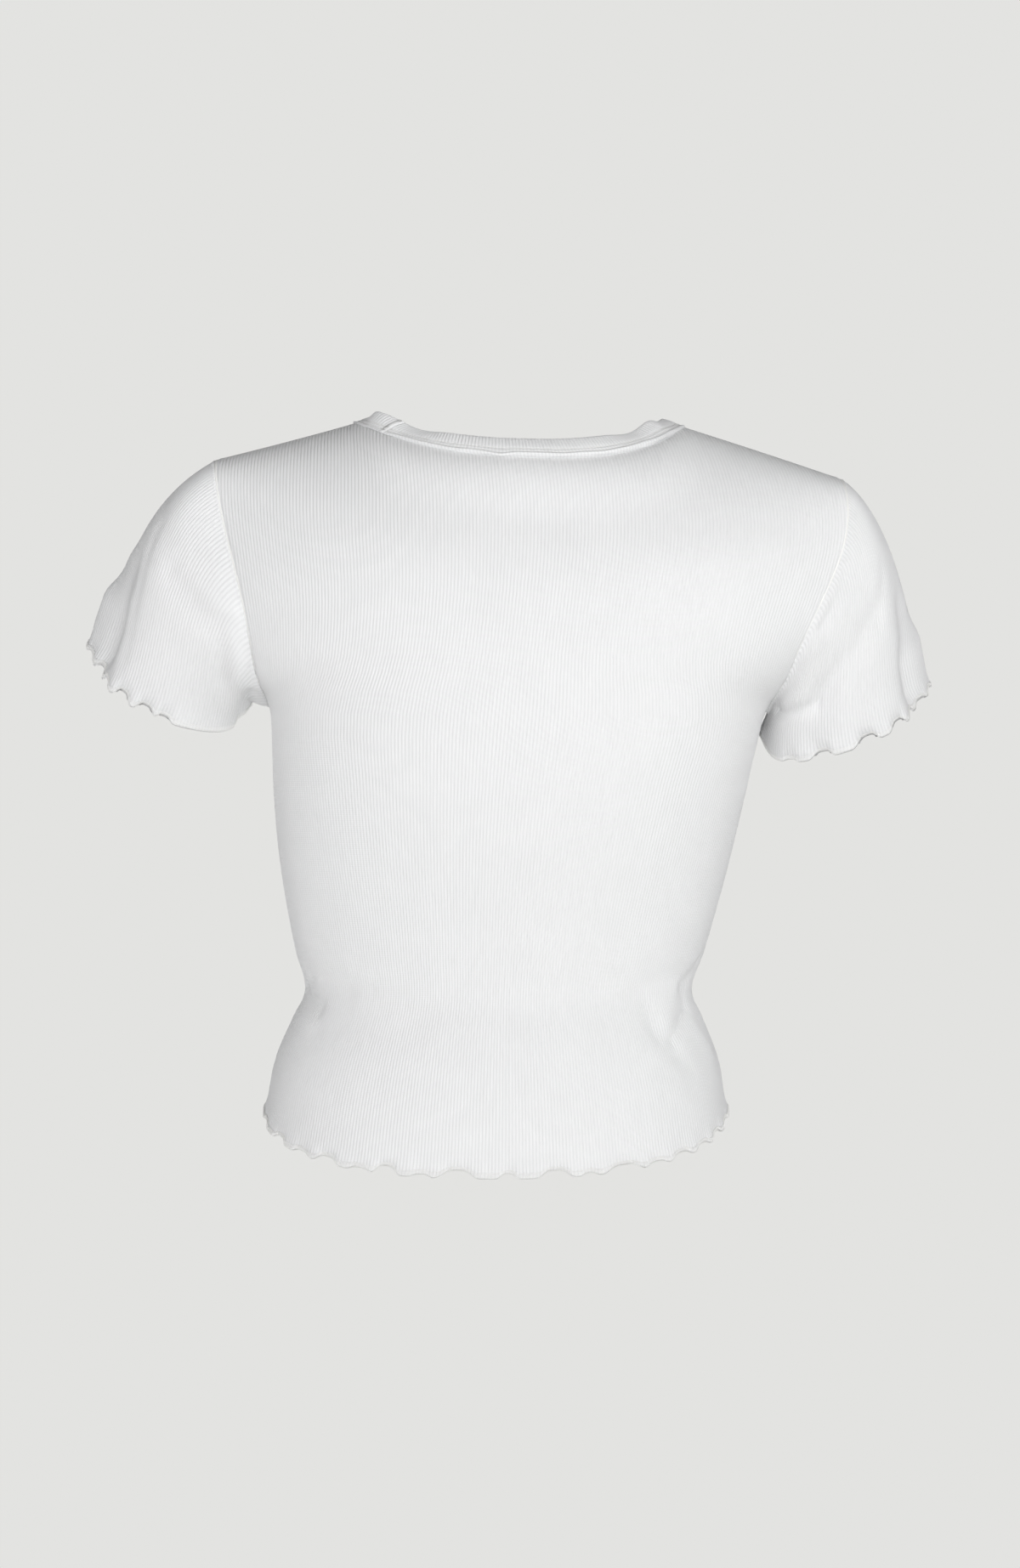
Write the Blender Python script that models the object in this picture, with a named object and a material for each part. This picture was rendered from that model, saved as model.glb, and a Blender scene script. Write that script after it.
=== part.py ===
"""Ribbed crop t-shirt with lettuce-edge hems, hollow and upright as it is worn.

Metres, +Z up. The back panel faces -Y and the front panel +Y. The origin lies between the two points
where the shoulder seams meet the neckline. Every piece is a thin closed wall of its own, cut to the seams:
a ribbed outer face over a plain inner face. Rib lines run up the panels and along the sleeves.
"""

import bmesh
import bpy
import numpy as np

MM = 0.001
GARMENT = "ribbed_t_shirt"

# ---- cloth ----
WALL = 1.2 * MM              # plain knit, under the ribs
RIB_HEIGHT = 0.6 * MM        # how far a rib stands out of it
SEAM_GAP = 0.3 * MM          # between two pieces along a seam
RIB_PITCH = 2.1 * MM         # the knit's own rib to rib distance
RIBS_PER_RAISED = 3          # one raised rib in these solids stands for this many of the knit's
HALF_RIBS = 96               # ribs from a panel's middle line to its side seam
NECK_RIBS = 50               # ribs from a panel's middle line to the shoulder's neck end
INNER_STEPS = 32             # flats across the plain inner face of a panel
INNER_HEM_STEPS = 96         # and across the part of it that waves

# ---- the body panels, seen as sections from the hem up ----
# climb is the distance up the cloth. The three heights are those of the section's middle in the back and
# front panel and of its side seam. bow is 2 for an ellipse and more for a squarer section.
RINGS = {
    "columns": ("climb", "back_z", "front_z", "side_z", "half_width", "side_y", "back_y", "front_y", "bow"),
    "hem": (0, -464, -455, -428, 144, -4, -100, 98, 2.4),
    "hip": (42, -420, -413, -396, 138, -4, -96, 95, 2.3),
    "crease": (80, -380, -378, -374, 129, -2, -86, 89, 2.2),
    "waist": (102, -358, -357, -355, 121, 0, -78, 85, 2.2),
    "small_of_back": (130, -330, -330, -329, 128, 0, -79, 88, 2.2),
    "lower_ribs": (194, -266, -266, -266, 142, 0, -92, 103, 2.3),
    "chest": (232, -228, -228, -228, 148, 0, -100, 115, 2.4),
    "underarm": (282, -178, -180, -178, 155, 0, -106, 113, 2.5),
}
# Above the underarm a section ends at the armhole seam. edge_ribs counts the ribs out to it, because the
# armhole cuts some away. turn is how far the section rounds away at its edge: 2.5 fully, 1 not at all.
YOKES = {
    "columns": ("climb", "middle_z", "middle_y", "edge_x", "edge_y", "edge_z", "bow", "turn", "edge_ribs"),
    "back": {
        "armhole_low": (308, -150, -106, 163, -35, -161, 2.6, 1.6, 91),
        "armhole_middle": (342, -115, -103, 173, -57, -127, 2.8, 1.15, 88),
        "armhole_high": (386, -70, -90, 190, -50, -77, 3.0, 1.0, 90),
    },
    "front": {
        "armhole_low": (308, -161, 113, 160, 33, -161, 2.5, 1.6, 89),
        "armhole_middle": (342, -139, 108, 169, 58, -127, 2.5, 1.15, 84),
        "armhole_high": (386, -113, 98, 182, 53, -77, 2.6, 1.0, 87),
    },
}
TOP_CLIMB = 480              # the neckline and the shoulder seam
TOP_EDGE_RIBS = 93

# ---- neckline and shoulder ----
NECK_HALF_WIDTH = 103 * MM
RIDGE_RISE = 14 * MM         # the shoulders' ridge runs on smoothly over the neck, before the neck is cut out
RIDGE_SQUARENESS = 2.2
SHOULDER_TIP = (195 * MM, -4 * MM, -28 * MM)
# How far back the ridge lies over the neck, and how strongly the cloth rolls over it, in mm.
RIDGES = {
    "columns": ("back", "round"),
    "back": (22, 130),
    "front": (0, -80),
}
NECK_CUT_FROM = 342          # the rows above this climb bend down under the neckline
NECK_CUTS = {
    "columns": ("depth", "squareness", "roundness"),
    "back": (53, 2.6, 1.8),
    "front": (74, 2.2, 1.8),
}

# ---- hems ----
# The stretched edge of the knit stands in waves, whose crowns hang lowest with notches between them. at and
# width are in mm along the edge, from a panel's middle line or the middle of a sleeve's outside, where at is
# negative towards the back. deep is the share of a full notch.
NOTCHES = {
    "columns": ("at", "width", "deep"),
    "back": (
        (-178, 12, 0.4), (-150, 13, 0.7), (-127, 12, 0.5), (-107, 14, 0.9), (-84, 12, 0.4), (-67, 13, 1.1),
        (-45, 11, 0.4), (-23, 19, 1.1), (8, 10, 0.7), (37, 17, 1.0), (58, 9, 0.4), (80, 20, 0.9),
        (102, 12, 0.5), (121, 13, 0.7), (140, 12, 0.6), (158, 12, 0.7), (178, 13, 0.5),
    ),
    "front": (
        (-179, 13, 0.5), (-158, 13, 0.7), (-134, 14, 0.9), (-108, 13, 0.6), (-86, 12, 0.8), (-60, 18, 1.1),
        (-34, 10, 0.5), (-14, 13, 0.9), (10, 18, 1.0), (36, 11, 0.5), (54, 13, 0.9), (79, 17, 1.0),
        (101, 11, 0.6), (120, 13, 0.8), (146, 15, 0.9), (176, 13, 0.6),
    ),
    "left_sleeve": (
        (-92, 10, 0.6), (-79, 12, 0.9), (-61, 12, 1.0), (-42, 12, 0.8), (-24, 12, 0.7), (-6, 10, 0.5),
        (17, 11, 0.9), (36, 13, 1.0), (58, 12, 0.6), (84, 14, 0.9), (110, 12, 0.7), (136, 12, 0.4),
    ),
    "right_sleeve": (
        (-128, 10, 0.3), (-106, 13, 0.8), (-77, 14, 1.0), (-54, 12, 1.0), (-37, 12, 0.8), (-18, 12, 0.6),
        (-2, 10, 0.6), (20, 12, 0.9), (40, 14, 1.0), (66, 12, 0.7), (90, 14, 0.9), (116, 12, 0.6),
        (142, 12, 0.4),
    ),
}
FLARE = 1.6 * MM             # how far the crowns stand out at the edge
NOTCH_IN = 3.6 * MM          # how far a full notch turns in behind them
NOTCH_LIFT = 5.0 * MM        # and how far it is drawn up
WAVE_ROOT = 12 * MM          # the waves have died away this far above the edge
WAVE_FADE = 1.5              # more lets them die away faster above the edge
NOTCH_SQUARENESS = 4         # 2 for a round notch and more for a flatter one

# ---- the largest folds ----
# Soft ridges and, where deep is negative, troughs, from one end to the other in mm: across is measured along
# the cloth from the panel's middle line, climb up the cloth. spread is the fold's half width.
FOLDS = {
    "columns": ("across_a", "climb_a", "across_b", "climb_b", "spread", "deep"),
    "back": (
        (-188, 108, -150, 94, 6, -2.2),
        (-166, 114, -120, 106, 7, -1.3),
        (-140, 82, -60, 84, 12, -1.4),
        (182, 121, 160, 108, 6, -1.6),
        (164, 94, 134, 75, 5, -2.0),
        (116, 104, 120, 82, 8, -1.1),
        (120, 82, 142, 54, 8, -1.3),
        (150, 106, 136, 92, 9, 1.3),
        (166, 78, 176, 56, 9, 1.3),
    ),
    "front": (
        (160, 122, 112, 92, 9, -4.5),
        (-160, 120, -108, 94, 9, -4.5),
        (120, 102, 40, 98, 9, -2.0),
        (-112, 106, -30, 102, 9, -2.0),
        (172, 88, 176, 30, 12, 4.0),
        (-172, 88, -176, 30, 12, 4.0),
        (120, 330, 70, 270, 13, 2.0),
        (-122, 326, -76, 268, 13, 2.0),
    ),
    # On a sleeve, across runs from the middle of its outside, negative towards the back.
    "left_sleeve": (
        (-28, 62, -28, 14, 12, -3.5),
        (-28, 28, -28, -10, 13, -5.0),
        (6, 60, 7, 18, 12, 2.5),
        (7, 32, 9, -10, 13, 7.5),
        (-72, 78, -108, 62, 8, -2.8),
        (-117, 68, -126, 34, 7, -2.2),
        (-138, 56, -140, 18, 8, 2.0),
        (-153, 32, -151, -6, 5, -2.6),
        (66, 100, 46, 34, 10, -2.2),
        (96, 84, 104, 6, 10, 2.4),
        (128, 40, 96, 50, 7, -2.6),
    ),
    "right_sleeve": (
        (-28, 62, -28, 14, 12, -3.5),
        (-28, 28, -28, -10, 13, -5.0),
        (6, 60, 7, 18, 12, 0.5),
        (7, 32, 9, -10, 13, 5.0),
        (-90, 106, -112, 82, 8, -2.6),
        (-66, 70, -104, 36, 9, -2.8),
        (-104, 36, -112, 12, 8, -1.4),
        (-150, 27, -108, 30, 4, -2.6),
        (66, 100, 46, 34, 10, -2.2),
        (96, 84, 104, 6, 10, 2.4),
        (128, 40, 96, 50, 7, -2.6),
    ),
}
SEAM_CALM = 11               # folds die away this many mm from a seam

# ---- sleeves ----
SLEEVE_TILT = np.radians(68)         # the cuff's way out, below the horizontal
SLEEVE_FORWARD = 0.38                # and how far it goes forward for each metre
CUFF_CENTRE = (213 * MM, 20 * MM, -170 * MM)
CUFF_HALF_ACROSS = 53 * MM           # from under the arm to the outside
CUFF_HALF_DEEP = 52 * MM             # front to back
SLEEVE_RIBS = 156
SLEEVE_SLANT = 0.075         # the armhole cuts the sleeve's ribs on a slant: how far round, in turns
SLEEVE_HANGS = {
    "columns": ("out", "down", "puff"),
    "left": (8, -3, 1.0),
    "right": (-6, 13, 0.50),
}
CAP_LEAVES = {
    "columns": ("turn", "out", "back", "up", "reach", "clear"),
    "underarm": (0.0, 1.0, 0.0, -0.10, 12, 1.0),
    "back_low": (0.14, 0.80, 0.45, -0.45, 20, 0.8),
    "back": (0.28, 0.76, 0.42, -0.50, 40, 0.5),
    "tip": (0.50, 0.86, 0.0, -0.50, 68, 0.7),
    "front": (0.72, 0.76, -0.42, -0.50, 40, 0.5),
    "front_low": (0.86, 0.80, -0.45, -0.45, 20, 0.8),
    "underarm_again": (1.0, 1.0, 0.0, -0.10, 12, 1.0),
}
UNDERARM_RISE = 9 * MM       # the cuff is drawn up where the sleeve's own seam meets it
UNDERARM_SHARE = 0.055       # as far round it as this, in turns
CUFF_REACH = 0.36            # how far up a sleeve its cuff's straight run is felt, as a share of its length

# ---- neckband ----
BAND_WIDTH = 13 * MM
BAND_WALL = 2.2 * MM         # the strip is folded double
BAND_RIB_PITCH = 2.2 * MM
BAND_RIBS_PER_RAISED = 3
BAND_LEANS = {
    "columns": ("turn", "in", "up"),
    "back": (0.0, 0.66, 0.75),
    "right_back": (0.09, 0.70, 0.66),
    "right_dip": (0.13, 0.88, 0.44),
    "right_corner": (0.158, 0.74, 0.60),
    "right": (0.18, 0.90, 0.34),
    "right_turn": (0.208, 0.84, 0.52),
    "right_front": (0.26, 0.90, 0.40),
    "front": (0.5, 0.62, 0.78),
    "left_front": (0.74, 0.80, 0.55),
    "left": (0.80, 0.92, 0.36),
    "left_corner": (0.842, 0.48, 0.86),
    "left_dip": (0.875, 0.80, 0.52),
    "left_back": (0.92, 0.67, 0.73),
    "back_again": (1.0, 0.66, 0.75),
}

# ---- pose: the garment leans and its right shoulder hangs lower ----
POSE = {
    "columns": ("height", "shift", "drop_right"),
    "hem": (-470, -12, 0),
    "waist": (-355, -10, 0),
    "chest": (-230, -3, 1),
    "underarm": (-178, 2, 2),
    "shoulder": (-28, 9, 6),
    "neck": (10, 1, 1),
}
POSE_REACH = 195 * MM        # drop_right is that of a point this far out

# ---- how finely the pieces are divided ----
FINE = 641                   # points along a section
FINER = 1201                 # and round a line that a piece hangs from
NUDGE = 0.05                 # ribs or mm either side of a place, to find how the cloth faces there
PANEL_ROWS = (0, 4, 12, 44, 70, 86, 98, 110, 130, 182, 232, 282, 320, 365, 405, 445, TOP_CLIMB)    # climbs
WAVING_ROWS = 2              # the lowest of them, which follow the waves on the inside too
NECK_CORNER = np.arange(NECK_RIBS - 12, NECK_RIBS + 0.1, 0.5)    # extra ribs on the top row, for its corner
EDGE_ROOM = 0.3              # a rib nearer to the edge than this is left out
SLEEVE_ROWS = {
    "columns": ("climb", "inner_steps"),      # climb in thousandths of the sleeve's length
    "cuff": (0, 84),
    "wave_root": (50, 84),
    "above_waves": (130, 36),
    "low": (290, 36),
    "middle": (460, 36),
    "high": (640, 36),
    "cap": (830, 36),
    "armhole": (1000, 36),
}
BAND_ROWS = {
    "columns": ("climb", "inner_steps"),
    "seam": (0, 64),
    "middle": (500, 64),
    "fold": (1000, 64),
}
WHITE = (0.86, 0.86, 0.87)
KNIT_ROUGHNESS = 0.9


def table(rows, group=None):
    """One array for each named column of a table, in the order of its rows."""
    chosen = rows[group] if group else {name: row for name, row in rows.items() if name != "columns"}
    values = chosen.values() if isinstance(chosen, dict) else chosen
    return dict(zip(rows["columns"], np.array(list(values), float).T))


def eased(share):
    share = np.clip(share, 0, 1)
    return share * share * (3 - 2 * share)


def evened(points, samples=FINE):
    """The same line with its points an even distance apart."""
    steps = np.linalg.norm(np.diff(points, axis=0), axis=1)
    along = np.concatenate([[0], np.cumsum(steps)])
    wanted = np.linspace(0, along[-1], samples)
    return np.stack([np.interp(wanted, along, points[:, axis]) for axis in range(3)], axis=1)


def through(knots, values, at):
    """A smooth curve through one value at each knot, as climb or turn goes on."""
    slopes = np.gradient(values, knots)
    which = np.clip(np.searchsorted(knots, at, side="right") - 1, 0, len(knots) - 2)
    width = knots[which + 1] - knots[which]
    share = np.clip((at - knots[which]) / width, 0, 1)
    before, after = (1 + 2 * share) * (1 - share) ** 2, share**2 * (3 - 2 * share)
    leaving, arriving = share * (1 - share) ** 2, share**2 * (share - 1)
    return (before * values[which] + after * values[which + 1]
            + width * (leaving * slopes[which] + arriving * slopes[which + 1]))


def half_section(half_width, edge_y, middle_y, edge_z, middle_z, bow, turn):
    """A section of a panel from its middle line to its right edge, evenly spaced."""
    out = np.sin(np.linspace(0, np.pi / 2, FINER))
    share = np.maximum(1 - out**bow, 0) ** (1 / turn)
    y = edge_y + (middle_y - edge_y) * share
    z = edge_z + (middle_z - edge_z) * share
    return evened(np.stack([half_width * out, y, z], axis=1) * MM)


def top_section(side):
    """The shoulders' ridge, from above the neck to the shoulder's tip, and the cloth's way over it."""
    ribs = np.linspace(0, TOP_EDGE_RIBS, FINE)
    from_neck = (ribs - NECK_RIBS) / (TOP_EDGE_RIBS - NECK_RIBS)
    in_neck = np.clip(ribs / NECK_RIBS, 0, 1)
    x = NECK_HALF_WIDTH + (SHOULDER_TIP[0] - NECK_HALF_WIDTH) * from_neck
    x = np.where(from_neck < 0, NECK_HALF_WIDTH * in_neck, x)
    back, roll = np.array(RIDGES[side]) * MM
    over_neck = 1 - in_neck**RIDGE_SQUARENESS
    y = np.where(from_neck < 0, -back * eased(1 - in_neck), SHOULDER_TIP[1] * np.clip(from_neck, 0, 1))
    z = np.where(from_neck < 0, RIDGE_RISE * over_neck, SHOULDER_TIP[2] * np.clip(from_neck, 0, 1))
    way = np.zeros((len(ribs), 3))
    way[:, 1] = roll
    return np.stack([x, y, z], axis=1), way


def sections_of(side):
    """A panel's sections: their climbs, their points, the way the cloth runs through them, and their ribs."""
    columns = YOKES["columns"]
    rings, yokes = table(RINGS), table({"columns": columns, side: YOKES[side]}, side)
    shape = (rings["half_width"], rings["side_y"], rings[side + "_y"], rings["side_z"], rings[side + "_z"],
             rings["bow"], rings["bow"])
    yoke_shape = (yokes["edge_x"], yokes["edge_y"], yokes["middle_y"], yokes["edge_z"], yokes["middle_z"],
                  yokes["bow"], yokes["turn"])
    climbs = [*rings["climb"], *yokes["climb"]]
    points = [half_section(*row) for row in (*zip(*shape), *zip(*yoke_shape))]
    ribs = [HALF_RIBS] * len(rings["climb"]) + list(yokes["edge_ribs"])
    top, top_way = top_section(side)
    climbs, points = np.array([*climbs, TOP_CLIMB]), np.array([*points, top])
    ribs = np.array([*ribs, TOP_EDGE_RIBS])
    ways = np.gradient(points, climbs, axis=0)
    ways[-1] = top_way / (climbs[-1] - climbs[-2])
    return climbs, points, ways, ribs


SECTIONS = {side: sections_of(side) for side in ("back", "front")}


def ribs_to_edge(side, climb):
    climbs, _, _, ribs = SECTIONS[side]
    return through(climbs, ribs.astype(float), climb)


def bare_panel(side, rib, climb):
    """Points of a panel before its folds and waves, at these ribs from its middle line and climbs up it."""
    climbs, points, ways, _ = SECTIONS[side]
    share = np.clip(np.abs(rib) / ribs_to_edge(side, climb), 0, 1)
    which = np.clip(np.searchsorted(climbs, climb, side="right") - 1, 0, len(climbs) - 2)
    width = climbs[which + 1] - climbs[which]
    up = ((climb - climbs[which]) / width)[:, None]
    place = share * (points.shape[1] - 1)
    low = np.minimum(place.astype(int), points.shape[1] - 2)
    part = (place - low)[:, None]

    def across(grid, row):
        return grid[row, low] * (1 - part) + grid[row, low + 1] * part

    found = ((1 + 2 * up) * (1 - up) ** 2 * across(points, which)
             + up**2 * (3 - 2 * up) * across(points, which + 1)
             + width[:, None] * up * (1 - up) ** 2 * across(ways, which)
             + width[:, None] * up**2 * (up - 1) * across(ways, which + 1))
    found[:, 0] *= np.where(rib < 0, -1, 1)
    return found


def below_neckline(side, rib, climb):
    """The climb a row comes to at this rib, which is less where the neckline has been cut out."""
    depth, squareness, roundness = NECK_CUTS[side]
    in_neck = np.clip(np.abs(rib) / NECK_RIBS, 0, 1)
    share = np.clip((climb - NECK_CUT_FROM) / (TOP_CLIMB - NECK_CUT_FROM), 0, 1)
    return climb - depth * share * (1 - in_neck**squareness) ** (1 / roundness)


def folded(side, across, climb, calm):
    """How far the folds push the cloth out at a place given in mm, damped where calm says a seam is near."""
    folds = table(FOLDS, side)
    total = np.zeros_like(across)
    for ax, ay, bx, by, spread, deep in zip(*(folds[name] for name in FOLDS["columns"])):
        length_squared = (bx - ax) ** 2 + (by - ay) ** 2
        along = ((across - ax) * (bx - ax) + (climb - ay) * (by - ay)) / length_squared
        near = np.clip(along, 0, 1)
        away = np.hypot(across - ax - near * (bx - ax), climb - ay - near * (by - ay))
        total += deep * MM * np.exp(-((away / spread) ** 2))
    return total * eased(calm / SEAM_CALM)


def waving(hem, at, above, root):
    """How deep in a notch the cloth is at a place along a hem, and how far it flares, both fading upwards."""
    notches = table(NOTCHES, hem)
    fading = np.clip(1 - above / root, 0, 1) ** WAVE_FADE
    notch = np.zeros_like(at)
    for place, width, deep in zip(*(notches[name] for name in NOTCHES["columns"])):
        notch += deep * np.exp(-np.abs(2 * (at - place) / width) ** NOTCH_SQUARENESS)
    return notch * fading, fading


def posed(points):
    pose = table(POSE)
    height = np.maximum(points[:, 2] / MM, pose["height"][0])
    shift = through(pose["height"], pose["shift"], height)
    drop = through(pose["height"], pose["drop_right"], height)
    moved = points.copy()
    moved[:, 2] -= drop * MM * points[:, 0] / POSE_REACH
    moved[:, 0] += shift * MM
    return moved


def square_to(place, here, there, forward_hand):
    """Unit normals of place(here, there), whose first argument runs along the piece and second up it."""
    ahead = place(here + NUDGE, there) - place(here - NUDGE, there)
    up = place(here, there + NUDGE) - place(here, there - NUDGE)
    normal = np.cross(ahead, up) * forward_hand
    return normal / np.maximum(np.linalg.norm(normal, axis=1, keepdims=True), 1e-12)


def panel_middle(side):
    """place(rib, climb) of a panel's cloth, with its folds and hem waves, and before the pose."""
    hand = 1 if side == "back" else -1

    def plain(rib, climb):
        climb = np.clip(climb, 0, TOP_CLIMB)
        edge = ribs_to_edge(side, climb)
        rib = np.clip(rib, -edge, edge)
        return bare_panel(side, rib, below_neckline(side, rib, climb))

    def place(rib, climb):
        climb = np.clip(climb, 0, TOP_CLIMB)
        edge = ribs_to_edge(side, climb)
        rib = np.clip(rib, -edge, edge)
        points = plain(rib, climb)
        normal = square_to(plain, rib, climb, hand)
        calm = np.minimum((edge - np.abs(rib)) * RIB_PITCH / MM, TOP_CLIMB - climb)
        points += normal * folded(side, rib * RIB_PITCH / MM, climb, calm)[:, None]
        notch, flare = waving(side, rib * RIB_PITCH / MM, climb * MM, WAVE_ROOT)
        points += normal * (FLARE * flare - NOTCH_IN * notch)[:, None]
        points[:, 2] += NOTCH_LIFT * notch
        return points

    return place, hand


def along_loop(loop, turn):
    """Points of an evenly spaced loop at these shares of the way round it."""
    shares = np.linspace(0, 1, len(loop))
    return np.stack([np.interp(turn, shares, loop[:, axis]) for axis in range(3)], axis=1)


def armhole_loop():
    """The right armhole from under the arm, up its back, over the tip and down its front, evenly spaced."""
    climb = np.linspace(RINGS["underarm"][0], TOP_CLIMB, FINE)
    edges = {side: bare_panel(side, ribs_to_edge(side, climb), climb) for side in ("back", "front")}
    return evened(np.concatenate([edges["back"], edges["front"][-2::-1]]), FINER)


ARMHOLE = armhole_loop()


def sleeve_middle(side):
    """place(turn, climb) of a sleeve, before the pose: turn in thousandths round it from under the arm, by
    the back, and climb in thousandths of the way from the cuff up to the armhole."""
    leaves = table(CAP_LEAVES)
    axis = np.array([np.cos(SLEEVE_TILT), SLEEVE_FORWARD, -np.sin(SLEEVE_TILT)])
    axis /= np.linalg.norm(axis)
    across = np.array([np.sin(SLEEVE_TILT), 0, np.cos(SLEEVE_TILT)])
    out, down, puff = SLEEVE_HANGS[side]
    centre = np.array(CUFF_CENTRE) + np.array([out, 0, -down]) * MM
    deep = np.cross(across, axis)
    mirror = np.array([-1.0, 1, 1]) if side == "left" else np.ones(3)
    hand = -1 if side == "left" else 1
    around = 2 * np.pi * CUFF_HALF_ACROSS / MM

    def plain(turn, climb):
        turn = np.mod(turn / 1000, 1)
        up = np.clip(climb / 1000, 0, 1)[:, None]
        cut = turn + SLEEVE_SLANT * np.sin(2 * np.pi * turn)
        loop = along_loop(ARMHOLE, cut)
        leave = np.stack([through(leaves["turn"], leaves["out"], cut),
                          -through(leaves["turn"], leaves["back"], cut),
                          through(leaves["turn"], leaves["up"], cut)], axis=1)
        leave /= np.linalg.norm(leave, axis=1, keepdims=True)
        reach = through(leaves["turn"], leaves["reach"], cut)[:, None] * MM * puff
        start = loop + leave * (SEAM_GAP + through(leaves["turn"], leaves["clear"], cut)[:, None] * MM)
        angle = 2 * np.pi * turn
        cuff = (centre - across * CUFF_HALF_ACROSS * np.cos(angle)[:, None]
                - deep * CUFF_HALF_DEEP * np.sin(angle)[:, None])
        risen = np.exp(-((np.minimum(turn, 1 - turn) / UNDERARM_SHARE) ** 2))
        cuff[:, 2] += UNDERARM_RISE * risen
        length = np.linalg.norm(cuff - start, axis=1, keepdims=True)
        first, second = start + leave * reach, cuff - axis * length * CUFF_REACH
        return (cuff * (1 - up) ** 3 + 3 * second * up * (1 - up) ** 2
                + 3 * first * up**2 * (1 - up) + start * up**3) * mirror

    def place(turn, climb):
        points = plain(turn, climb)
        normal = square_to(plain, turn, climb, hand)
        whole = np.linalg.norm(plain(turn, climb * 0) - plain(turn, climb * 0 + 1000), axis=1)
        height = np.clip(climb, 0, 1000) / 1000 * whole
        round_it = (np.mod(turn / 1000, 1) - 0.5) * around
        calm = np.minimum((whole - height) / MM, around / 2 - np.abs(round_it))
        points += normal * folded(side + "_sleeve", round_it, height / MM, calm)[:, None]
        notch, flare = waving(side + "_sleeve", round_it, height, np.minimum(WAVE_ROOT, whole))
        points += normal * (FLARE * flare - NOTCH_IN * notch)[:, None]
        points[:, 2] += NOTCH_LIFT * notch
        return points

    return place, hand


def neck_loop():
    """The neckline from the middle of the back, by the right shoulder, to the front and round again."""
    ribs = NECK_RIBS * np.sin(np.linspace(0, np.pi / 2, FINE))
    top = np.full(len(ribs), float(TOP_CLIMB))
    quarter = {side: bare_panel(side, ribs, below_neckline(side, ribs, top)) for side in ("back", "front")}
    half = np.concatenate([quarter["back"], quarter["front"][-2::-1]])
    return evened(np.concatenate([half, half[-2::-1] * np.array([-1, 1, 1])]), FINER)


NECK = neck_loop()


def band_middle():
    """place(turn, climb) of the neckband, before the pose: turn in thousandths from the middle of the back by
    the right, climb in thousandths of its width from the seam up."""
    leans = table(BAND_LEANS)
    centre = NECK.mean(axis=0)

    def place(turn, climb):
        turn = np.mod(turn / 1000, 1)
        loop = along_loop(NECK, turn)
        inward = (centre - loop) * np.array([1, 1, 0])
        inward /= np.linalg.norm(inward, axis=1, keepdims=True)
        way = inward * through(leans["turn"], leans["in"], turn)[:, None]
        way[:, 2] = through(leans["turn"], leans["up"], turn)
        way /= np.linalg.norm(way, axis=1, keepdims=True)
        return loop + way * (SEAM_GAP * 3 + BAND_WIDTH * np.clip(climb, 0, 1000)[:, None] / 1000)

    return place, 1


def zigzag(rib, per_raised):
    """0 in the groove between two raised ribs and 1 on a rib's top."""
    return 1 - np.abs(2 * np.mod(rib / per_raised, 1) - 1)


def add_row(mesh, place, hand, here, there, lift):
    """One row of a wall's vertices as (here, vertex) pairs, lifted off the middle of the cloth."""
    there = np.full(len(here), float(there))
    points = posed(place(here, there) + square_to(place, here, there, hand) * lift[:, None])
    return [(spot, mesh.verts.new(point)) for spot, point in zip(here, points)]


def join_rows(mesh, lower, upper):
    """Faces between two rows that run the same way and may have different numbers of vertices."""
    i = j = 0
    while i < len(lower) - 1 or j < len(upper) - 1:
        if j == len(upper) - 1 or (i < len(lower) - 1 and lower[i + 1][0] <= upper[j + 1][0]):
            mesh.faces.new((lower[i][1], lower[i + 1][1], upper[j][1]))
            i += 1
        else:
            mesh.faces.new((lower[i][1], upper[j + 1][1], upper[j][1]))
            j += 1


def join_ends(mesh, outer, inner, end):
    """The narrow face along one side of a panel's wall."""
    join_rows(mesh, [(k, row[end][1]) for k, row in enumerate(outer)],
              [(k, row[end][1]) for k, row in enumerate(inner)])


def finished(mesh, name, colour):
    bmesh.ops.recalc_face_normals(mesh, faces=mesh.faces)
    if mesh.calc_volume(signed=True) < 0:
        bmesh.ops.reverse_faces(mesh, faces=mesh.faces)
    data = bpy.data.meshes.new(name)
    mesh.to_mesh(data)
    mesh.free()
    piece = bpy.data.objects.new(name, data)
    COLLECTION.objects.link(piece)
    knit = bpy.data.materials.new(name + "_knit")
    knit.use_nodes = True
    surface = knit.node_tree.nodes["Principled BSDF"]
    surface.inputs["Base Color"].default_value = (*colour, 1)
    surface.inputs["Roughness"].default_value = KNIT_ROUGHNESS
    surface.inputs["Metallic"].default_value = 0.0
    data.materials.append(knit)
    return piece


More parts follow.
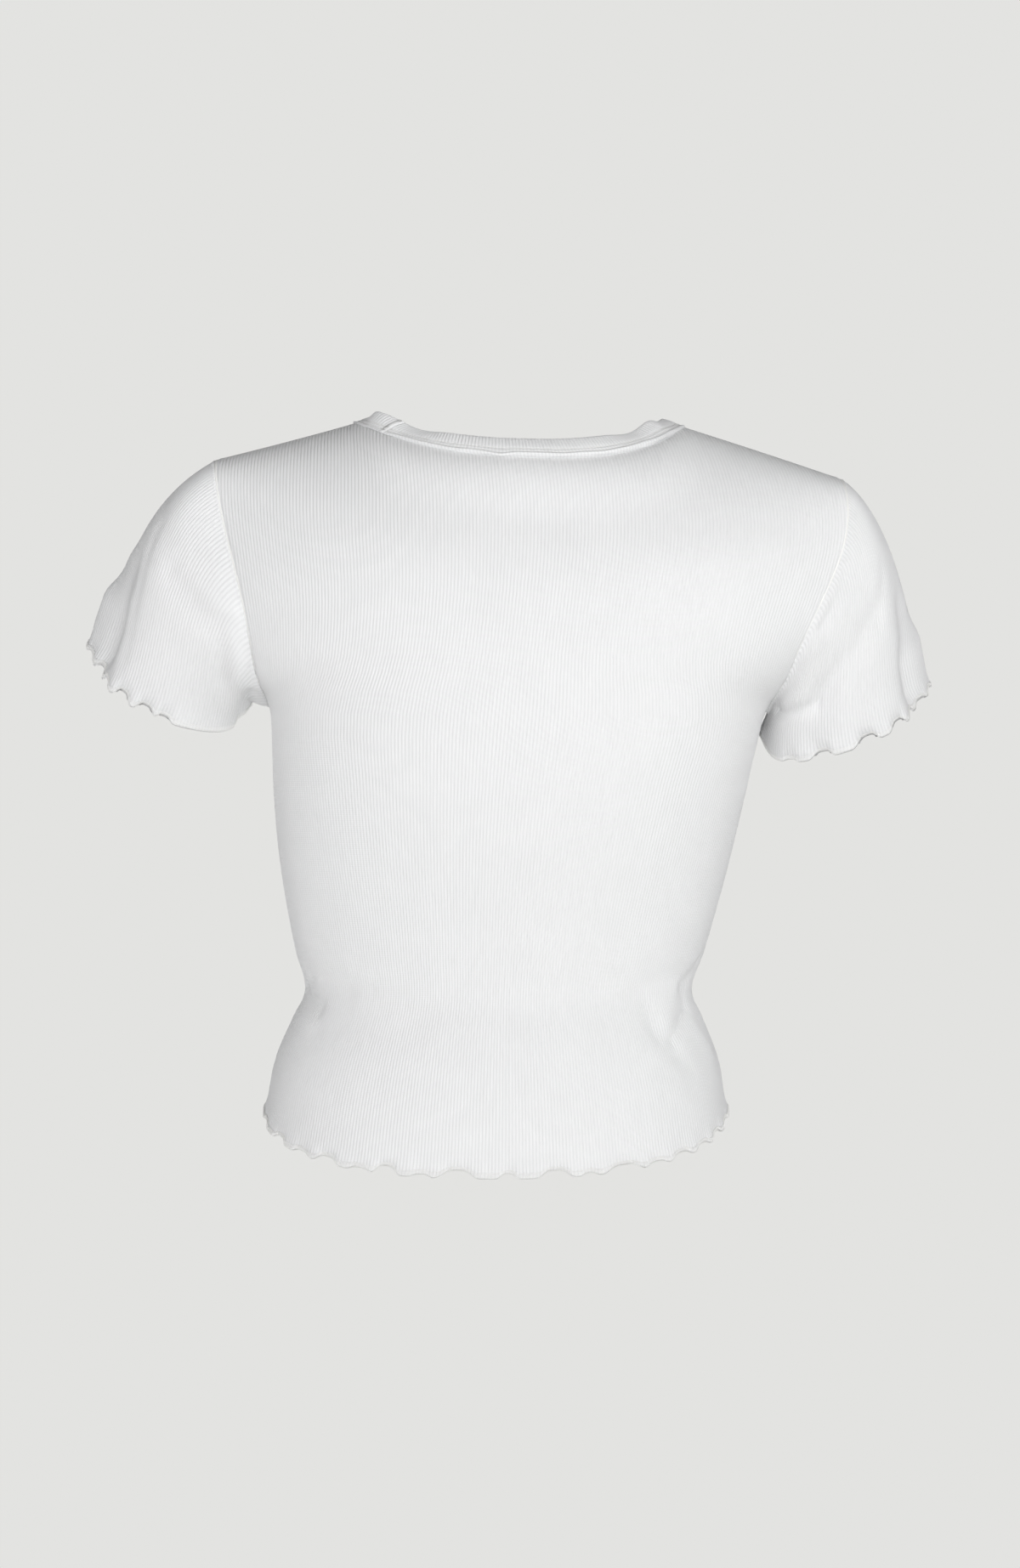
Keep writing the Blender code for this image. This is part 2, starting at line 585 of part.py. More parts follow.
def make_panel(side):
    place, hand = panel_middle(side)
    mesh = bmesh.new()
    outer, inner = [], []
    for k, climb in enumerate(PANEL_ROWS):
        climb = min(climb, TOP_CLIMB - SEAM_GAP / MM / 2)
        edge = float(ribs_to_edge(side, np.array([climb]))[0]) - SEAM_GAP / RIB_PITCH / 2
        columns = np.arange(-HALF_RIBS, HALF_RIBS + 1, RIBS_PER_RAISED / 2)
        columns = columns[np.abs(columns) < edge - EDGE_ROOM]
        if climb > PANEL_ROWS[-2]:
            columns = np.union1d(columns, [*NECK_CORNER, *-NECK_CORNER])
        ribs = np.concatenate([[-edge], columns, [edge]])
        outer.append(add_row(mesh, place, hand, ribs, climb, RIB_HEIGHT * zigzag(ribs, RIBS_PER_RAISED)))
        flats = np.linspace(-edge, edge, (INNER_HEM_STEPS if k < WAVING_ROWS else INNER_STEPS) + 1)
        inner.append(add_row(mesh, place, hand, flats, climb, np.full(len(flats), -WALL)))
    for wall_rows in (outer, inner):
        for lower, upper in zip(wall_rows, wall_rows[1:]):
            join_rows(mesh, lower, upper)
    join_rows(mesh, outer[0], inner[0])
    join_rows(mesh, outer[-1], inner[-1])
    join_ends(mesh, outer, inner, 0)
    join_ends(mesh, outer, inner, -1)
    return finished(mesh, side + "_panel", WHITE)


def closed_row(mesh, place, hand, turns, climb, lift):
    """A row round a tube: the first vertex is also its last."""
    row = add_row(mesh, place, hand, turns[:-1], climb, lift[:-1])
    return [*row, (turns[-1], row[0][1])]


def make_tube(name, middle, rows, raised, wall):
    """A ring-shaped wall, plain inside and ribbed outside, with this many raised ribs evenly round it."""
    place, hand = middle
    mesh = bmesh.new()
    turns = np.linspace(0, 1000, raised * 2 + 1)
    outer, inner = [], []
    rows = table(rows)
    for climb, steps in zip(rows["climb"], rows["inner_steps"].astype(int)):
        lift = RIB_HEIGHT * zigzag(turns / 1000 * raised, 1)
        outer.append(closed_row(mesh, place, hand, turns, climb, lift))
        flats = np.linspace(0, 1000, steps + 1)
        inner.append(closed_row(mesh, place, hand, flats, climb, np.full(len(flats), -wall)))
    for wall_rows in (outer, inner):
        for lower, upper in zip(wall_rows, wall_rows[1:]):
            join_rows(mesh, lower, upper)
    join_rows(mesh, outer[0], inner[0])
    join_rows(mesh, outer[-1], inner[-1])
    return finished(mesh, name, WHITE)


def make_all():
    for side in ("back", "front"):
        make_panel(side)
    for side in ("left", "right"):
        make_tube(side + "_sleeve", sleeve_middle(side), SLEEVE_ROWS, SLEEVE_RIBS // RIBS_PER_RAISED, WALL)
    around = np.linalg.norm(np.diff(NECK, axis=0), axis=1).sum()
    raised = round(around / BAND_RIB_PITCH / BAND_RIBS_PER_RAISED)
    make_tube("neckband", band_middle(), BAND_ROWS, raised, BAND_WALL)


for leftover in list(bpy.data.objects):
    bpy.data.objects.remove(leftover)
COLLECTION = bpy.data.collections.new(GARMENT)
bpy.context.scene.collection.children.link(COLLECTION)
make_all()
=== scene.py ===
# %% [markdown]
# # A ribbed t-shirt with waved edges
# This lesson dresses a plain CAD model of a short, close-fitting t-shirt in knitted cloth. The model gives
# the size, the cut and the pose, and stays as it is. Each of its five pieces is replaced by a piece of cloth
# that has every rib of the knit, and then the sewing is added: the thread round the waved edges, the
# stitching of the neckband, and the seams inside.

# %% Load the CAD model
import bmesh
import bpy
import numpy as np
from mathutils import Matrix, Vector


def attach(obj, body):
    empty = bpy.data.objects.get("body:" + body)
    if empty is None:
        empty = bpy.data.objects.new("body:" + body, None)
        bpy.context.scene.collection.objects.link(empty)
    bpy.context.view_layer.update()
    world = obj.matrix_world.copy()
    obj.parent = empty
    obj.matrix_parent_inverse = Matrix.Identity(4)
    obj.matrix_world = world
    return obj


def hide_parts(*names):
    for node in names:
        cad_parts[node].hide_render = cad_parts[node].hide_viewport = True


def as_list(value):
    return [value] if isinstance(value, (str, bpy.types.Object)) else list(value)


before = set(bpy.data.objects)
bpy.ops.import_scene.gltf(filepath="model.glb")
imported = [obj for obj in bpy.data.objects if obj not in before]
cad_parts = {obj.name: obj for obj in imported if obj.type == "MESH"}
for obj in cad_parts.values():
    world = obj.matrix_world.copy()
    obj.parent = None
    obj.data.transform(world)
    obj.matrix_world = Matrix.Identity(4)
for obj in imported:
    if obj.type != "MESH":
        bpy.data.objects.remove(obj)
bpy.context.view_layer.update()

print("CAD nodes:", sorted(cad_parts))

# %% [markdown]
# ## The camera
# The picture was taken level with the chest from about two and a half metres, straight at the wearer's back.
# A long lens keeps the near and far sides of a garment the same size, so the lens is worked out from how many
# metres of the shirt one dot of the picture shows, and from how far away the camera stands.

# %% Camera
DISTANCE = 2.6
METRES_PER_DOT = 0.000535
PICTURE_TALL = 1845
camera = bpy.data.objects.new("camera", bpy.data.cameras.new("camera"))
bpy.context.scene.collection.objects.link(camera)
camera.data.sensor_fit = "VERTICAL"
camera.data.sensor_height = 24
camera.data.lens = camera.data.sensor_height * DISTANCE / (PICTURE_TALL * METRES_PER_DOT)
camera.location = (-0.0027, -DISTANCE, -0.225)
camera.rotation_euler = (np.pi / 2, 0, 0)
bpy.context.scene.camera = camera
print("lens", round(camera.data.lens, 1), "mm")

# %% [markdown]
# ## How the cloth is described
# A knitted panel is easiest to think of as its maker does: so many ribs across and so many millimetres up.
# Each function called place(rib, climb) below says where such a spot of the cloth is in the air, in metres.
# The shape could be sculpted by hand instead, but then the ribs wouldn't follow it, and in knitwear it is the
# ribs that show the form. The tables and functions follow those that cut the CAD model, so the cloth lies
# within 3 mm of its walls. A rib here is lower than one of the model's, because three of them share one of
# its raised ribs.

# %% Measures of the knit
MM = 0.001
WALL = 1.2 * MM              # the cloth's thickness under the ribs
RIB_HEIGHT = 0.5 * MM
INNER_RIBS = 0.5             # the inside's ribs, as a share of that
RIB_PITCH = 2.1 * MM
HALF_RIBS = 96               # ribs from a panel's middle line to its side seam
NECK_RIBS = 50               # ribs from a panel's middle line to the shoulder's neck end
FINE, FINER = 641, 1201      # points along a section, and round a line that a piece hangs from


def table(rows, group=None):
    """One array for each named column of a table, in the order of its rows."""
    chosen = rows[group] if group else {name: row for name, row in rows.items() if name != "columns"}
    values = chosen.values() if isinstance(chosen, dict) else chosen
    return dict(zip(rows["columns"], np.array(list(values), float).T))


def eased(share):
    share = np.clip(share, 0, 1)
    return share * share * (3 - 2 * share)


def evened(points, samples=FINE):
    """The same line with its points an even distance apart."""
    steps = np.linalg.norm(np.diff(points, axis=0), axis=1)
    along = np.concatenate([[0], np.cumsum(steps)])
    wanted = np.linspace(0, along[-1], samples)
    return np.stack([np.interp(wanted, along, points[:, axis]) for axis in range(3)], axis=1)


def through(knots, values, at):
    """A smooth curve through one value at each knot, as climb or turn goes on."""
    slopes = np.gradient(values, knots)
    which = np.clip(np.searchsorted(knots, at, side="right") - 1, 0, len(knots) - 2)
    width = knots[which + 1] - knots[which]
    share = np.clip((at - knots[which]) / width, 0, 1)
    before, after = (1 + 2 * share) * (1 - share) ** 2, share**2 * (3 - 2 * share)
    leaving, arriving = share * (1 - share) ** 2, share**2 * (share - 1)
    return (before * values[which] + after * values[which + 1]
            + width * (leaving * slopes[which] + arriving * slopes[which + 1]))


print("a panel has", 2 * HALF_RIBS, "ribs and is", round(2 * HALF_RIBS * RIB_PITCH, 3), "m wide when flat")

# %% [markdown]
# ## The body's sections
# Dressmakers describe a body by its girths. Each row of the table is one girth, from the hem up, with its
# height and half widths. Between the rows the cloth runs in smooth curves. Above the underarm a section stops
# at the armhole seam, which cuts some of the ribs off.

# %% Sections of the body
RINGS = {
    "columns": ("climb", "back_z", "front_z", "side_z", "half_width", "side_y", "back_y", "front_y", "bow"),
    "hem": (0, -464, -455, -428, 144, -4, -100, 98, 2.4),
    "hip": (42, -420, -413, -396, 138, -4, -96, 95, 2.3),
    "crease": (80, -380, -378, -374, 129, -2, -86, 89, 2.2),
    "waist": (102, -358, -357, -355, 121, 0, -78, 85, 2.2),
    "small_of_back": (130, -330, -330, -329, 128, 0, -79, 88, 2.2),
    "lower_ribs": (194, -266, -266, -266, 142, 0, -92, 103, 2.3),
    "chest": (232, -228, -228, -228, 148, 0, -100, 115, 2.4),
    "underarm": (282, -178, -180, -178, 155, 0, -106, 113, 2.5),
}
# Above the underarm a section ends at the armhole seam. edge_ribs counts the ribs out to it, because the
# armhole cuts some away. turn is how far the section rounds away at its edge: 2.5 fully, 1 not at all.
YOKES = {
    "columns": ("climb", "middle_z", "middle_y", "edge_x", "edge_y", "edge_z", "bow", "turn", "edge_ribs"),
    "back": {
        "armhole_low": (308, -150, -106, 163, -35, -161, 2.6, 1.6, 91),
        "armhole_middle": (342, -115, -103, 173, -57, -127, 2.8, 1.15, 88),
        "armhole_high": (386, -70, -90, 190, -50, -77, 3.0, 1.0, 90),
    },
    "front": {
        "armhole_low": (308, -161, 113, 160, 33, -161, 2.5, 1.6, 89),
        "armhole_middle": (342, -139, 108, 169, 58, -127, 2.5, 1.15, 84),
        "armhole_high": (386, -113, 98, 182, 53, -77, 2.6, 1.0, 87),
    },
}
TOP_CLIMB = 480              # the neckline and the shoulder seam
TOP_EDGE_RIBS = 93
NECK_HALF_WIDTH = 103 * MM
RIDGE_RISE = 14 * MM         # the shoulders' ridge runs on smoothly over the neck, before the neck is cut out
RIDGE_SQUARENESS = 2.2
SHOULDER_TIP = (195 * MM, -4 * MM, -28 * MM)
# How far back the ridge lies over the neck, and how strongly the cloth rolls over it, in mm.
RIDGES = {
    "columns": ("back", "round"),
    "back": (22, 130),
    "front": (0, -80),
}


def half_section(half_width, edge_y, middle_y, edge_z, middle_z, bow, turn):
    """A section of a panel from its middle line to its right edge, evenly spaced."""
    out = np.sin(np.linspace(0, np.pi / 2, FINER))
    share = np.maximum(1 - out**bow, 0) ** (1 / turn)
    y = edge_y + (middle_y - edge_y) * share
    z = edge_z + (middle_z - edge_z) * share
    return evened(np.stack([half_width * out, y, z], axis=1) * MM)


def top_section(side):
    """The shoulders' ridge, from above the neck to the shoulder's tip, and the cloth's way over it."""
    ribs = np.linspace(0, TOP_EDGE_RIBS, FINE)
    from_neck = (ribs - NECK_RIBS) / (TOP_EDGE_RIBS - NECK_RIBS)
    in_neck = np.clip(ribs / NECK_RIBS, 0, 1)
    x = NECK_HALF_WIDTH + (SHOULDER_TIP[0] - NECK_HALF_WIDTH) * from_neck
    x = np.where(from_neck < 0, NECK_HALF_WIDTH * in_neck, x)
    back, roll = np.array(RIDGES[side]) * MM
    over_neck = 1 - in_neck**RIDGE_SQUARENESS
    y = np.where(from_neck < 0, -back * eased(1 - in_neck), SHOULDER_TIP[1] * np.clip(from_neck, 0, 1))
    z = np.where(from_neck < 0, RIDGE_RISE * over_neck, SHOULDER_TIP[2] * np.clip(from_neck, 0, 1))
    way = np.zeros((len(ribs), 3))
    way[:, 1] = roll
    return np.stack([x, y, z], axis=1), way


def sections_of(side):
    """A panel's sections: their climbs, their points, the way the cloth runs through them, and their ribs."""
    columns = YOKES["columns"]
    rings, yokes = table(RINGS), table({"columns": columns, side: YOKES[side]}, side)
    shape = (rings["half_width"], rings["side_y"], rings[side + "_y"], rings["side_z"], rings[side + "_z"],
             rings["bow"], rings["bow"])
    yoke_shape = (yokes["edge_x"], yokes["edge_y"], yokes["middle_y"], yokes["edge_z"], yokes["middle_z"],
                  yokes["bow"], yokes["turn"])
    climbs = [*rings["climb"], *yokes["climb"]]
    points = [half_section(*row) for row in (*zip(*shape), *zip(*yoke_shape))]
    ribs = [HALF_RIBS] * len(rings["climb"]) + list(yokes["edge_ribs"])
    top, top_way = top_section(side)
    climbs, points = np.array([*climbs, TOP_CLIMB]), np.array([*points, top])
    ribs = np.array([*ribs, TOP_EDGE_RIBS])
    ways = np.gradient(points, climbs, axis=0)
    ways[-1] = top_way / (climbs[-1] - climbs[-2])
    return climbs, points, ways, ribs


SECTIONS = {side: sections_of(side) for side in ("back", "front")}
print("sections at climbs of", SECTIONS["back"][0].astype(int).tolist(), "mm")

# %% [markdown]
# ## From sections to a surface
# The sections are joined like the ribs of a boat: a spot between two of them follows a curve that leaves one
# and arrives at the other in the way the cloth runs there. The neckline is then cut out by letting the rows
# near the top come down below it.

# %% The bare panels and the neckline
NECK_CUT_FROM = 342          # the rows above this climb bend down under the neckline
NECK_CUTS = {
    "columns": ("depth", "squareness", "roundness"),
    "back": (53, 2.6, 1.8),
    "front": (74, 2.2, 1.8),
}


def ribs_to_edge(side, climb):
    climbs, _, _, ribs = SECTIONS[side]
    return through(climbs, ribs.astype(float), climb)


def bare_panel(side, rib, climb):
    """Points of a panel before its folds and waves, at these ribs from its middle line and climbs up it."""
    climbs, points, ways, _ = SECTIONS[side]
    share = np.clip(np.abs(rib) / ribs_to_edge(side, climb), 0, 1)
    which = np.clip(np.searchsorted(climbs, climb, side="right") - 1, 0, len(climbs) - 2)
    width = climbs[which + 1] - climbs[which]
    up = ((climb - climbs[which]) / width)[:, None]
    place = share * (points.shape[1] - 1)
    low = np.minimum(place.astype(int), points.shape[1] - 2)
    part = (place - low)[:, None]

    def across(grid, row):
        return grid[row, low] * (1 - part) + grid[row, low + 1] * part

    found = ((1 + 2 * up) * (1 - up) ** 2 * across(points, which)
             + up**2 * (3 - 2 * up) * across(points, which + 1)
             + width[:, None] * up * (1 - up) ** 2 * across(ways, which)
             + width[:, None] * up**2 * (up - 1) * across(ways, which + 1))
    found[:, 0] *= np.where(rib < 0, -1, 1)
    return found


def below_neckline(side, rib, climb):
    """The climb a row comes to at this rib, which is less where the neckline has been cut out."""
    depth, squareness, roundness = NECK_CUTS[side]
    in_neck = np.clip(np.abs(rib) / NECK_RIBS, 0, 1)
    share = np.clip((climb - NECK_CUT_FROM) / (TOP_CLIMB - NECK_CUT_FROM), 0, 1)
    return climb - depth * share * (1 - in_neck**squareness) ** (1 / roundness)


print("the neckline lies", NECK_CUTS["back"][0], "and", NECK_CUTS["front"][0], "mm down the back and front")

# %% [markdown]
# ## Waved edges
# The hem and the cuffs are oversewn while the knit is pulled, so that the edge comes out too long for the
# cloth above it and stands in waves. Seen from the side each wave hangs as a flat crown, with a steep notch
# before the next one. A wave modifier would make them all alike, so a table gives each notch its place from
# the picture.

# %% Waves
# at and width are in mm along the edge, from a panel's middle line or the middle of a sleeve's outside, where
# at is negative towards the back. deep is the share of a full notch.
NOTCHES = {
    "columns": ("at", "width", "deep"),
    "back": (
        (-178, 12, 0.4), (-150, 13, 0.7), (-127, 12, 0.5), (-107, 14, 0.9), (-84, 12, 0.4), (-67, 13, 1.1),
        (-45, 11, 0.4), (-23, 19, 1.1), (8, 10, 0.7), (37, 17, 1.0), (58, 9, 0.4), (80, 20, 0.9),
        (102, 12, 0.5), (121, 13, 0.7), (140, 12, 0.6), (158, 12, 0.7), (178, 13, 0.5),
    ),
    "front": (
        (-179, 13, 0.5), (-158, 13, 0.7), (-134, 14, 0.9), (-108, 13, 0.6), (-86, 12, 0.8), (-60, 18, 1.1),
        (-34, 10, 0.5), (-14, 13, 0.9), (10, 18, 1.0), (36, 11, 0.5), (54, 13, 0.9), (79, 17, 1.0),
        (101, 11, 0.6), (120, 13, 0.8), (146, 15, 0.9), (176, 13, 0.6),
    ),
    "left_sleeve": (
        (-92, 10, 0.6), (-79, 12, 0.9), (-61, 12, 1.0), (-42, 12, 0.8), (-24, 12, 0.7), (-6, 10, 0.5),
        (17, 11, 0.9), (36, 13, 1.0), (58, 12, 0.6), (84, 14, 0.9), (110, 12, 0.7), (136, 12, 0.4),
    ),
    "right_sleeve": (
        (-128, 10, 0.3), (-106, 13, 0.8), (-77, 14, 1.0), (-54, 12, 1.0), (-37, 12, 0.8), (-18, 12, 0.6),
        (-2, 10, 0.6), (20, 12, 0.9), (40, 14, 1.0), (66, 12, 0.7), (90, 14, 0.9), (116, 12, 0.6),
        (142, 12, 0.4),
    ),
}
FLARE = 1.6 * MM             # how far the crowns stand out at the edge
NOTCH_IN = 3.6 * MM          # how far a full notch turns in behind them
NOTCH_LIFT = 5.0 * MM        # and how far it is drawn up
WAVE_ROOT = 12 * MM          # the waves have died away this far above the edge
WAVE_FADE = 1.5              # more lets them die away faster above the edge
NOTCH_SQUARENESS = 4         # 2 for a round notch and more for a flatter one


def waving(hem, at, above, root):
    """How deep in a notch the cloth is at a place along a hem, and how far it flares, both fading upwards."""
    notches = table(NOTCHES, hem)
    fading = np.clip(1 - above / root, 0, 1) ** WAVE_FADE
    notch = np.zeros_like(at)
    for place, width, deep in zip(*(notches[name] for name in NOTCHES["columns"])):
        notch += deep * np.exp(-np.abs(2 * (at - place) / width) ** NOTCH_SQUARENESS)
    return notch * fading, fading


print(len(NOTCHES["back"]), "notches across the back hem")

# %% [markdown]
# ## Folds
# A close-fitting knit has few folds: drags at the waist, where it is pulled in, and from the armholes. Each
# is a soft ridge or trough between two spots of the cloth. The largest are in the CAD model too. The finer
# ones are only here, and so is the slight fullness of the upper back. Cloth simulation would give folds as
# well, but not these ones in these places.

# %% Folds
FOLDS = {
    "columns": ("across_a", "climb_a", "across_b", "climb_b", "spread", "deep"),
    "back": (
        (-188, 108, -150, 94, 6, -2.2),
        (-166, 114, -120, 106, 7, -1.3),
        (-140, 82, -60, 84, 12, -1.4),
        (182, 121, 160, 108, 6, -1.6),
        (164, 94, 134, 75, 5, -2.0),
        (116, 104, 120, 82, 8, -1.1),
        (120, 82, 142, 54, 8, -1.3),
        (150, 106, 136, 92, 9, 1.3),
        (166, 78, 176, 56, 9, 1.3),
    ),
    "front": (
        (160, 122, 112, 92, 9, -4.5),
        (-160, 120, -108, 94, 9, -4.5),
        (120, 102, 40, 98, 9, -2.0),
        (-112, 106, -30, 102, 9, -2.0),
        (172, 88, 176, 30, 12, 4.0),
        (-172, 88, -176, 30, 12, 4.0),
        (120, 330, 70, 270, 13, 2.0),
        (-122, 326, -76, 268, 13, 2.0),
    ),
    # On a sleeve, across runs from the middle of its outside, negative towards the back.
    "left_sleeve": (
        (-28, 62, -28, 14, 12, -3.5),
        (-28, 28, -28, -10, 13, -5.0),
        (6, 60, 7, 18, 12, 2.5),
        (7, 32, 9, -10, 13, 7.5),
        (-72, 78, -108, 62, 8, -2.8),
        (-117, 68, -126, 34, 7, -2.2),
        (-138, 56, -140, 18, 8, 2.0),
        (-153, 32, -151, -6, 5, -2.6),
        (66, 100, 46, 34, 10, -2.2),
        (96, 84, 104, 6, 10, 2.4),
        (128, 40, 96, 50, 7, -2.6),
    ),
    "right_sleeve": (
        (-28, 62, -28, 14, 12, -3.5),
        (-28, 28, -28, -10, 13, -5.0),
        (6, 60, 7, 18, 12, 0.5),
        (7, 32, 9, -10, 13, 5.0),
        (-90, 106, -112, 82, 8, -2.6),
        (-66, 70, -104, 36, 9, -2.8),
        (-104, 36, -112, 12, 8, -1.4),
        (-150, 27, -108, 30, 4, -2.6),
        (66, 100, 46, 34, 10, -2.2),
        (96, 84, 104, 6, 10, 2.4),
        (128, 40, 96, 50, 7, -2.6),
    ),
}
FINER_FOLDS = {
    "columns": FOLDS["columns"],
    "back": (
        (-80, 455, 80, 455, 21, 3.0),
        (-150, 112, -100, 108, 4, -0.5),
        (150, 117, 108, 108, 6, -0.6),
        (150, 88, 136, 77, 3, -0.5),
    ),
    "front": (
        (140, 100, 96, 66, 6, -1.2),
        (-136, 100, -98, 64, 6, -1.2),
    ),
    "left_sleeve": (
        (-44, 96, -52, 20, 5, -0.8),
        (-30, 110, -62, 96, 7, -0.8),
        (40, 90, 34, 24, 6, -0.8),
    ),
    "right_sleeve": (
        (-52, 96, -62, 60, 5, -0.6),
        (-84, 58, -92, 20, 6, 0.8),
        (40, 90, 34, 24, 6, -0.8),
    ),
}
SEAM_CALM = 11               # folds die away this many mm from a seam


def folded(side, across, climb, calm):
    """How far the folds push the cloth out at a place given in mm, damped where calm says a seam is near."""
    total = np.zeros_like(across)
    for folds in (table(FOLDS, side), table(FINER_FOLDS, side)):
        for ax, ay, bx, by, spread, deep in zip(*(folds[name] for name in FOLDS["columns"])):
            length_squared = (bx - ax) ** 2 + (by - ay) ** 2
            along = ((across - ax) * (bx - ax) + (climb - ay) * (by - ay)) / length_squared
            near = np.clip(along, 0, 1)
            away = np.hypot(across - ax - near * (bx - ax), climb - ay - near * (by - ay))
            total += deep * MM * np.exp(-((away / spread) ** 2))
    return total * eased(calm / SEAM_CALM)


print(len(FOLDS["back"]) + len(FINER_FOLDS["back"]), "folds in the back")

# %% [markdown]
# ## Pose
# The wearer stood with the hips a little to one side and one shoulder lower. Every spot is shifted for that
# last of all, so the cut itself stays the same left and right.

# %% Pose
POSE = {
    "columns": ("height", "shift", "drop_right"),
    "hem": (-470, -12, 0),
    "waist": (-355, -10, 0),
    "chest": (-230, -3, 1),
    "underarm": (-178, 2, 2),
    "shoulder": (-28, 9, 6),
    "neck": (10, 1, 1),
}
POSE_REACH = 195 * MM        # drop_right is that of a point this far out
NUDGE = 0.05                 # ribs or mm either side of a place, to find how the cloth faces there


def posed(points):
    pose = table(POSE)
    height = np.maximum(points[:, 2] / MM, pose["height"][0])
    shift = through(pose["height"], pose["shift"], height)
    drop = through(pose["height"], pose["drop_right"], height)
    moved = points.copy()
    moved[:, 2] -= drop * MM * points[:, 0] / POSE_REACH
    moved[:, 0] += shift * MM
    return moved


def square_to(place, here, there, forward_hand):
    """Unit normals of place(here, there), whose first argument runs along the piece and second up it."""
    ahead = place(here + NUDGE, there) - place(here - NUDGE, there)
    up = place(here, there + NUDGE) - place(here, there - NUDGE)
    normal = np.cross(ahead, up) * forward_hand
    return normal / np.maximum(np.linalg.norm(normal, axis=1, keepdims=True), 1e-12)


def panel_middle(side):
    """place(rib, climb) of a panel's cloth, with its folds and hem waves, and before the pose."""
    hand = 1 if side == "back" else -1

    def plain(rib, climb):
        climb = np.clip(climb, 0, TOP_CLIMB)
        edge = ribs_to_edge(side, climb)
        rib = np.clip(rib, -edge, edge)
        return bare_panel(side, rib, below_neckline(side, rib, climb))

    def place(rib, climb):
        climb = np.clip(climb, 0, TOP_CLIMB)
        edge = ribs_to_edge(side, climb)
        rib = np.clip(rib, -edge, edge)
        points = plain(rib, climb)
        normal = square_to(plain, rib, climb, hand)
        calm = np.minimum((edge - np.abs(rib)) * RIB_PITCH / MM, TOP_CLIMB - climb)
        points += normal * folded(side, rib * RIB_PITCH / MM, climb, calm)[:, None]
        notch, flare = waving(side, rib * RIB_PITCH / MM, climb * MM, WAVE_ROOT)
        points += normal * (FLARE * flare - NOTCH_IN * notch)[:, None]
        points[:, 2] += NOTCH_LIFT * notch
        return points

    return place, hand


for side in ("back", "front"):
    corner = posed(panel_middle(side)[0](np.array([0.0]), np.array([0.0])))[0]
    print("middle of the", side, "hem at", corner.round(3).tolist())

# %% [markdown]
# ## A wall of cloth
# The cloth could be a single face with a Solidify modifier. Its ribs are narrower than the cloth is thick,
# though, and an offset that follows such sharp curves crosses itself. So the wall is made as a knitter would
# see it. A flat grid has a line of vertices in each groove and one on each side of the rib's top. It is put
# in place as the outer face, and then extruded into a copy that becomes the inner face, whose ribs stand
# where the outer grooves are.

# %% Helpers for a wall of cloth
PIECES = bpy.data.collections.new("ribbed t-shirt")
bpy.context.scene.collection.children.link(PIECES)
MERGE = 0.02 * MM


def spot_arrays(verts, layers):
    return [np.array([vertex[layer] for vertex in verts]) for layer in layers]


def put(verts, points):
    for vertex, point in zip(verts, points):
        vertex.co = point


def cloth_wall(name, columns, rows, outer, inner, knit, hand):
    """A closed wall from a grid. outer and inner place its faces, and knit gives its pattern (rib, mm up)."""
    mesh = bmesh.new()
    bmesh.ops.create_grid(mesh, x_segments=len(columns) - 1, y_segments=len(rows) - 1, size=1)
    layers = [mesh.verts.layers.float.new(word) for word in ("column", "row")]
    for vertex in mesh.verts:
        vertex[layers[0]] = columns[round((vertex.co.x + 1) / 2 * (len(columns) - 1))]
        vertex[layers[1]] = rows[round((vertex.co.y + 1) / 2 * (len(rows) - 1))]
    spots = spot_arrays(mesh.verts, layers)
    ribs, ups = knit(*spots)
    pattern = mesh.loops.layers.uv.new("knit")
    mesh.verts.index_update()
    for face in mesh.faces:
        for loop in face.loops:
            loop[pattern].uv = (ribs[loop.vert.index], ups[loop.vert.index])
    put(mesh.verts, outer(*spots))
    if hand < 0:
        bmesh.ops.reverse_faces(mesh, faces=mesh.faces)
    bmesh.ops.remove_doubles(mesh, verts=mesh.verts, dist=MERGE)
    if inner:
        grown = bmesh.ops.extrude_face_region(mesh, geom=mesh.faces[:], use_keep_orig=True)
        copies = [item for item in grown["geom"] if isinstance(item, bmesh.types.BMVert)]
        put(copies, inner(*spot_arrays(copies, layers)))
        bmesh.ops.reverse_faces(mesh, faces=[f for f in grown["geom"] if isinstance(f, bmesh.types.BMFace)])
        bmesh.ops.recalc_face_normals(mesh, faces=mesh.faces)
        if mesh.calc_volume(signed=True) < 0:
            bmesh.ops.reverse_faces(mesh, faces=mesh.faces)
    data = bpy.data.meshes.new(name)
    mesh.to_mesh(data)
    mesh.free()
    data.shade_smooth()
    piece = bpy.data.objects.new(name, data)
    PIECES.objects.link(piece)
    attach(piece, "root")
    open_edges = int((np.bincount(edge_uses(data)) == 1).sum())
    print(name, len(data.polygons), "faces,", open_edges, "open edges")
    return piece


def edge_uses(data):
    used = np.empty(len(data.loops), int)
    data.loops.foreach_get("edge_index", used)
    return used


RIB_TOP = (0.24, 0.76)       # where a rib's top begins and ends, as shares of the way from groove to groove


def rib_shape(rib):
    """0 in a groove and 1 on a rib's top."""
    return np.interp(np.mod(rib, 1), (0, *RIB_TOP, 1), (0, 1, 1, 0))


def rib_columns(first, last):
    """Three columns of vertices for each rib: its groove and both sides of its top."""
    return np.append((np.arange(first, last)[:, None] + [0, *RIB_TOP]).ravel(), last)


def spread_rows(bands):
    """The heights of rows of stitches, from a table of bands with how many steps each is divided into."""
    bands = table(bands)
    parts = [np.linspace(low, high, int(steps), endpoint=False)
             for low, high, steps in zip(bands["from"], bands["to"], bands["steps"])]
    return np.concatenate([*parts, [bands["to"][-1]]])


